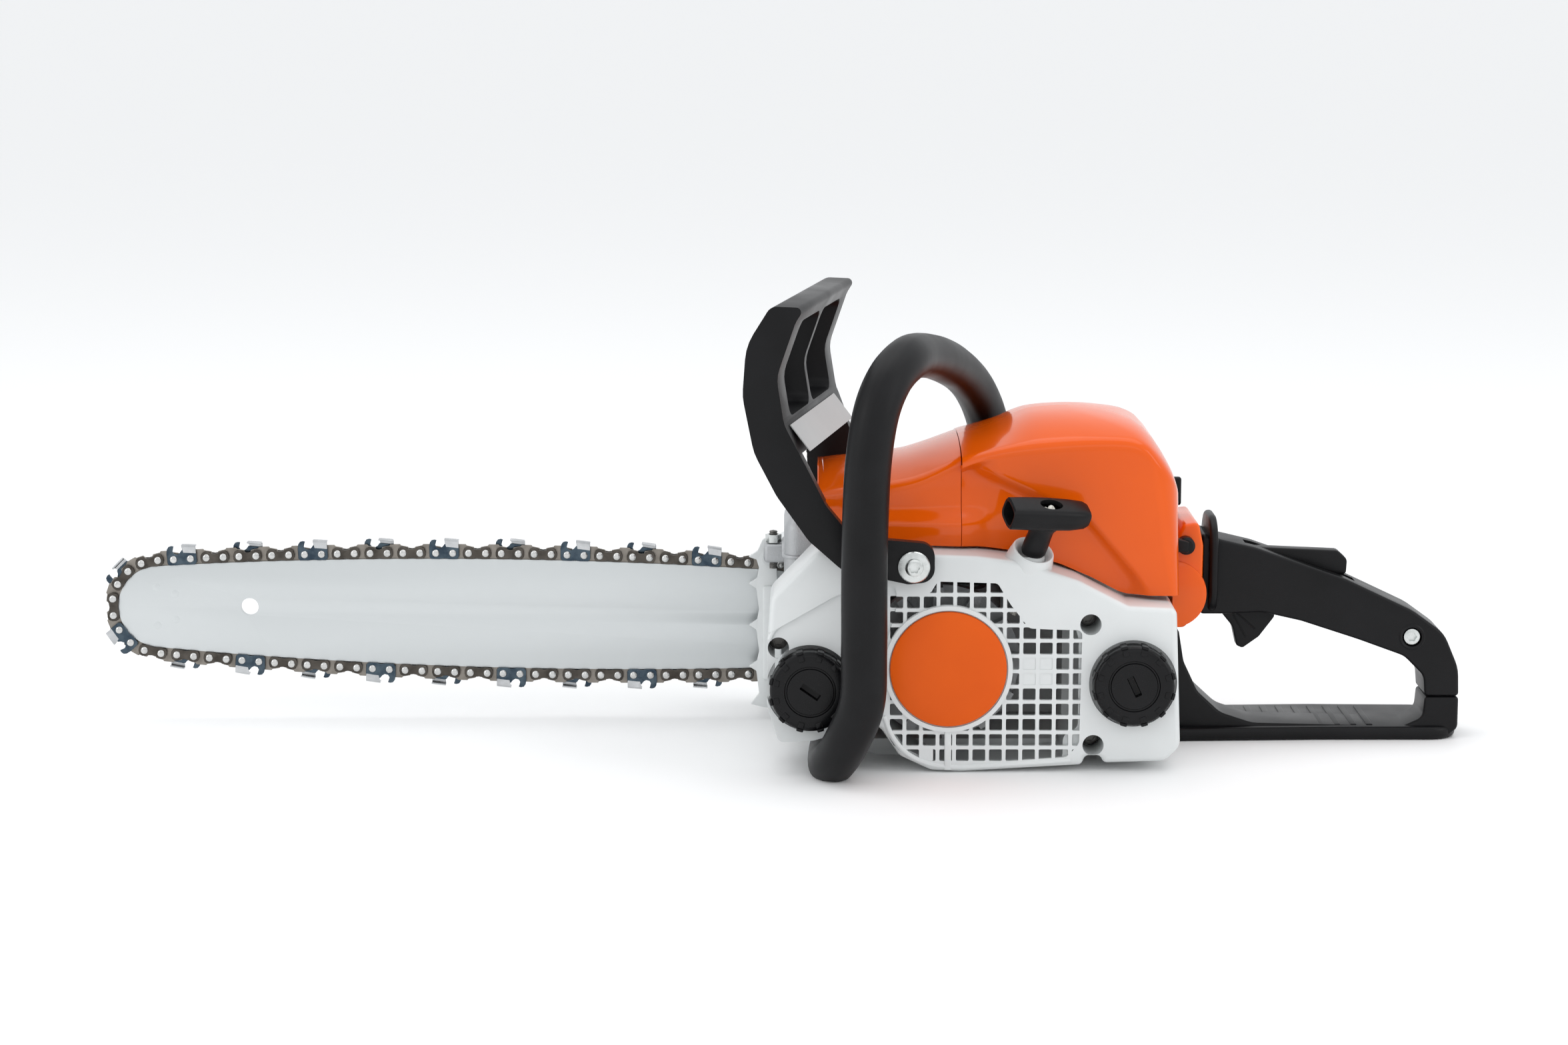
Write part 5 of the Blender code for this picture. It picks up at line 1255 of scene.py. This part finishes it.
def make_screws():
    for name, (x, z) in zip(("rear_top", "front", "rear_low"), FAN_SCREWS):
        profile = [(0, -76.4), (3.4, -76.35), (4.6, -75.9), (5.0, -75.0), (5.0, -72.3), (2.5, -72.3),
            (2.5, -60.3), (0, -60.3)]
        screw = star_screw("casing_screw_" + name, profile, (x, z), 2.9, -76.4, 2.2)
        dress(screw, "dark_fastener_steel", replaced=["fan_screw_" + name], angle=36)
    profile = [(0, -111.2), (3.6, -111.1), (4.6, -110.6), (4.9, -109.6), (8.0, -109.1), (8.5, -108.5),
        (8.5, -107.4)]
    profile += [(4.0, -107.4), (4.0, -98.4), (3.0, -98.4), (3.0, -82.0), (0, -82.0)]
    screw = star_screw("guard_pivot_bolt", profile, (69.0, 114.0), 3.0, -111.2, 2.4)
    dress(screw, "zinc_fastener", replaced=["guard_pivot_screw"], angle=36)
    profile = [(0, -15.6), (3.2, -15.5), (4.4, -15.1), (4.8, -14.3), (4.8, -12.3), (2.3, -12.3),
        (2.3, 8.0), (0, 8.0)]
    screw = star_screw("rear_handle_bolt", profile, (350.0, 58.0), 2.8, -15.6, 2.2)
    dress(screw, "zinc_fastener", replaced=["rear_handle_screw"], angle=36)


PULL = Vector((0.26, -0.46, 0.85)).normalized()
GRIP_FOOT = Vector((133.0, -89.2, 118.6))


def make_starter_grip():
    """A hollow cross bar on an oval stem, open at its left end, with an eye for the cord's knot."""
    side = Vector((0.93, 0.35, -0.095))
    side = (side - PULL * side.dot(PULL)).normalized()
    depth = PULL.cross(side)
    frame_turn = Matrix((side, depth, PULL)).transposed()
    centre = GRIP_FOOT + PULL * 27.0

    def ring(along, width, height, lift=0.0, roundness=0.55):
        """A rounded section of the bar, as far along it as asked."""
        row = []
        for k in range(32):
            angle = math.tau * k / 32
            c, s = math.cos(angle), math.sin(angle)
            a = math.copysign(abs(c) ** roundness, c) * width / 2
            b = math.copysign(abs(s) ** roundness, s) * height / 2 + lift
            row.append(centre + side * along + depth * a + PULL * b)
        return row

    outer = [ring(-23.0, 15.0, 12.0, -0.6), ring(-22.2, 16.3, 13.4, -0.5), ring(-12, 16.8, 13.7, -0.2),
        ring(0, 16.8, 13.7)]
    outer += [ring(12, 16.2, 13.0), ring(20, 14.4, 11.4, 0.3), ring(22.6, 12.0, 9.0, 0.5),
        ring(23.0, 8.0, 5.0, 0.5)]
    inner = [ring(20.0, 7.0, 4.0, 0.3), ring(17.0, 10.4, 7.6), ring(-14, 12.0, 9.0, -0.3),
        ring(-22.6, 12.6, 9.8, -0.6)]
    bar = loft("grip_bar", outer + inner + [outer[0]], closed_rows=True)
    eye_turn = Matrix.Translation((centre + FRAME_SHIFT) * MM) @ frame_turn.to_4x4()
    eye = turned("grip_eye", [(0, 2.0), (4.2, 2.0), (4.2, 12.0), (0, 12.0)], -FRAME_SHIFT, "Z", 40)
    eye.data.transform(Matrix.Diagonal((1.55, 0.95, 1.0, 1.0)))
    eye.data.transform(eye_turn)
    carve(bar, [eye])
    rows = []
    for lift, wide, thick in ((0.3, 6.4, 5.4), (1.6, 6.9, 6.0), (6, 7.0, 6.0), (12, 6.7, 5.6),
        (17, 6.8, 5.8), (20.5, 8.6, 7.2), (21.6, 10.5, 7.4)):
        rows.append([
            GRIP_FOOT + PULL * lift + side * wide * math.cos(math.tau * k / 32) + depth * thick * math.sin(math.tau * k / 32)
            for k in range(32)
        ])
    stem = loft("grip_stem", rows, closed_rows=True, caps=True)
    whole = merge("starter_grip_handle", [bar, stem])
    dress(whole, "black_handle_plastic", "starter_grip", ["starter_grip"], angle=38)
    collar = [(7.4, -7.0), (8.0, -1.4), (9.6, 1.4), (10.6, 1.9), (11.4, 1.3), (12.4, -3.0), (13.4, -9.0),
        (9.0, -11.0)]
    funnel = turned("starter_funnel", collar, -FRAME_SHIFT, "Z", 56, ring=True)
    funnel.data.transform(Matrix.Translation((GRIP_FOOT + FRAME_SHIFT) * MM) @ frame_turn.to_4x4())
    dress(funnel, "satin_grey_casing", angle=40)
    knot = [centre + PULL * 2.6 + side * 2.1 * math.cos(a) + depth * 1.6 * math.sin(2 * a) + PULL * 1.0 * math.sin(a)
            for a in (math.tau * k / 20 for k in range(20))]
    tie = swept("starter_cord_knot", knot, 1.35, 12)
    dress(tie, "braided_starter_cord", "starter_grip", angle=60)
    route = [(123.0, -84.6, 84.0), (126.5, -84.5, 93.0), (129.2, -84.2, 104.0), (130.6, -85.2, 110.0),
        (132.0, -87.6, 116.0)]
    cord = swept("starter_cord", smooth_line(route, 8), 1.7, 16)
    shade(cord, 60)
    cord.data.materials.append(FINISHES["braided_starter_cord"])
    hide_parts("starter_rope")
    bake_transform(cord)


# ---------------------------------------------------------------- drive side and small metalwork


def make_sprocket_cover():
    outline = rounded(
        [(-16, 16, 6), (10, 9, 6), (118, 9, 10), (142, 24, 14), (142, 78, 14), (128, 90, 8),
            (60, 102, 20), (0, 101, 10)]
        + [(-16, 90, 8)]
    )
    cover = prism("sprocket_cover_shell", [outline], 50.0, 92.0)
    bake(round_edges(cover, 6.0, 5, 50.0))
    inner = rounded(
        [(-20, 20, 0), (12, 13, 6), (117, 13, 9), (138, 26, 12), (138, 76, 12), (126, 86.5, 8),
            (60, 98, 18), (0, 97, 8)]
        + [(-20, 88, 0)]
    )
    spot = on_bar(48.0, 0.0)
    room = prism("cover_room", [inner, circle(spot, 16.0, 48)[::-1]], 46.0, 88.0)
    tools = [room, prism("nut_seat", [circle(spot, 13.0, 56)], 60.6, 110.0),
        prism("stud_way", [circle(spot, 4.4, 24)], 30.0, 110.0)]
    tools.append(prism("boss_trim", [circle(spot, 18.0, 48)], 30.0, 47.1))
    for k in range(4):
        tools.append(slab(f"vent_{k}", (98.0 + k * 9.0, 84.0, 28.0), (102.4 + k * 9.0, 100.0, 70.0), 2.0))
    tools.append(prism("cover_flat", [rounded([(4, 22, 6), (86, 22, 10), (86, 84, 16), (60, 91, 10),
        (4, 88, 8)])], 91.0, 99.0))
    carve(cover, tools)
    profile = [(13.0, 91.6), (13.0, 90.0), (16.4, 90.0), (15.8, 91.6), (14.4, 92.0)]
    rim = turned("seat_rim", profile, (spot[0], 0.0, spot[1]), "Y", 56, ring=True)
    whole = merge("sprocket_cover_shell", [cover, rim])
    dress(whole, "satin_grey_casing", replaced=["sprocket_cover"], angle=34)
    nut = prism("bar_clamp_nut", [circle(spot, 18.5 / math.sqrt(3), 6, 10.0),
        circle(spot, 4.3, 28)[::-1]], 60.9, 70.0)
    round_edges(nut, 0.7, 3, 25.0)
    dress(nut, "zinc_fastener", replaced=["bar_nut"], angle=36)


def make_bumper_spike():
    teeth = []
    for tip in (79.0, 55.0, 31.0):
        teeth += [(-14.2, tip + 9.0, 3.0), (-15.4, tip + 3.0, 1.2), (-20.0, tip, 0.0),
            (-15.8, tip - 2.6, 1.0)]
    top = [(-4.0, 105.0, 2.0), (-12.0, 105.0, 2.5), (-15.0, 98.0, 2.0), (-20.0, 94.5, 0.0),
        (-15.6, 93.0, 0.8)]
    outline = rounded([*top, *teeth, (-14.2, 15.0, 2.0), (-19.0, 9.0, 0.0), (-11.0, 7.0, 1.0),
        (-4.0, 7.0, 1.0)], 12)
    spike = prism("spike_blade", [outline], 34.0, 38.0)
    bake(round_edges(spike, 0.3, 2, 50.0))
    foot = slab("spike_foot", (-12.0, 30.0, 24.0), (-1.4, 38.0, 78.0), 1.2)
    carve(foot, [prism("screw_way", [circle((36.5, 46.0), 3.2, 24)], -30.0, -1.0, "X")])
    lug = turned("spike_lug", [(2.6, 33.0), (5.4, 33.0), (5.9, 33.6), (5.9, 37.6), (2.6, 37.6)],
        (-3.0, 0.0, 99.0), "Y", 36, ring=True)
    boss = turned("spike_boss", [(0, 33.4), (3.0, 33.4), (3.3, 35.0), (0, 35.0)], (-9.4, 0.0, 93.0),
        "Y", 32)
    arc = swept("spike_mark", [(-11.0 + 4 * math.cos(a),
        33.9, 62.0 + 8 * math.sin(a)) for a in [k * 0.13 - 0.9 for k in range(15)]], 0.45, 8)
    whole = merge("bumper_spike_plate", [spike, foot, lug, boss, arc])
    dress(whole, "satin_grey_casing", replaced=["bumper_spike"], angle=34)


def make_muffler():
    box = slab("muffler_can", (0.0, -34.0, 84.0), (52.0, 34.0, 128.0), 8.0, segments=5)
    lug = slab("muffler_ear", (-11.5, 17.0, 94.0), (8.0, 31.0, 104.5), 2.4)
    carve(lug, [prism("ear_way", [circle((-6.0, 24.0), 2.8, 20)], 84.5, 120.0, "Z")])
    seam = prism("muffler_seam", [rounded([(-1.2, -35.2, 9), (53.2, -35.2, 9), (53.2, 35.2, 9),
        (-1.2, 35.2, 9)])], 105.2, 107.2, "Z")
    bake(round_edges(seam, 0.7, 2, 50.0))
    whole = merge("muffler_body", [box, lug, seam])
    dress(whole, "sand_cast_alloy", replaced=["muffler"], angle=36)
    thread = [(0, 90.0)] + [(2.4 - 0.32 * (k % 2), 90.0 + k * 0.55) for k in range(40)] + [(0, 112.0)]
    stud = turned("muffler_threaded_stud", thread, (-6.0, 24.0, 0.0), "Z", 24)
    dress(stud, "dark_fastener_steel", replaced=["muffler_stud"], angle=20)
    nut = prism("muffler_hex_nut", [circle((-6.0, 24.0), 8.0 / math.sqrt(3), 6), circle((-6.0, 24.0),
        2.7, 20)[::-1]], 104.9, 109.5, "Z")
    round_edges(nut, 0.45, 2, 25.0)
    dress(nut, "zinc_fastener", replaced=["muffler_nut"], angle=36)


def make_engine_housing():
    """The grey tank housing, with its corners eased."""
    housing = from_cad("engine_housing", "tank_housing")
    round_edges(housing, 0.9, 2, 50.0)
    dress(housing, "satin_grey_casing", replaced=["engine_housing"], angle=36)


set_camera()
set_floor()
set_light()
make_finishes()
finish_cad_nodes()
make_guide_bar()
make_saw_chain()
make_filter_cover()
make_cylinder_shroud()
make_fan_housing()
make_engine_housing()
make_front_handle()
make_hand_guard()
make_rear_handle()
make_neck()
make_controls()
make_caps()
make_badge()
make_screws()
make_starter_grip()
make_sprocket_cover()
make_bumper_spike()
make_muffler()
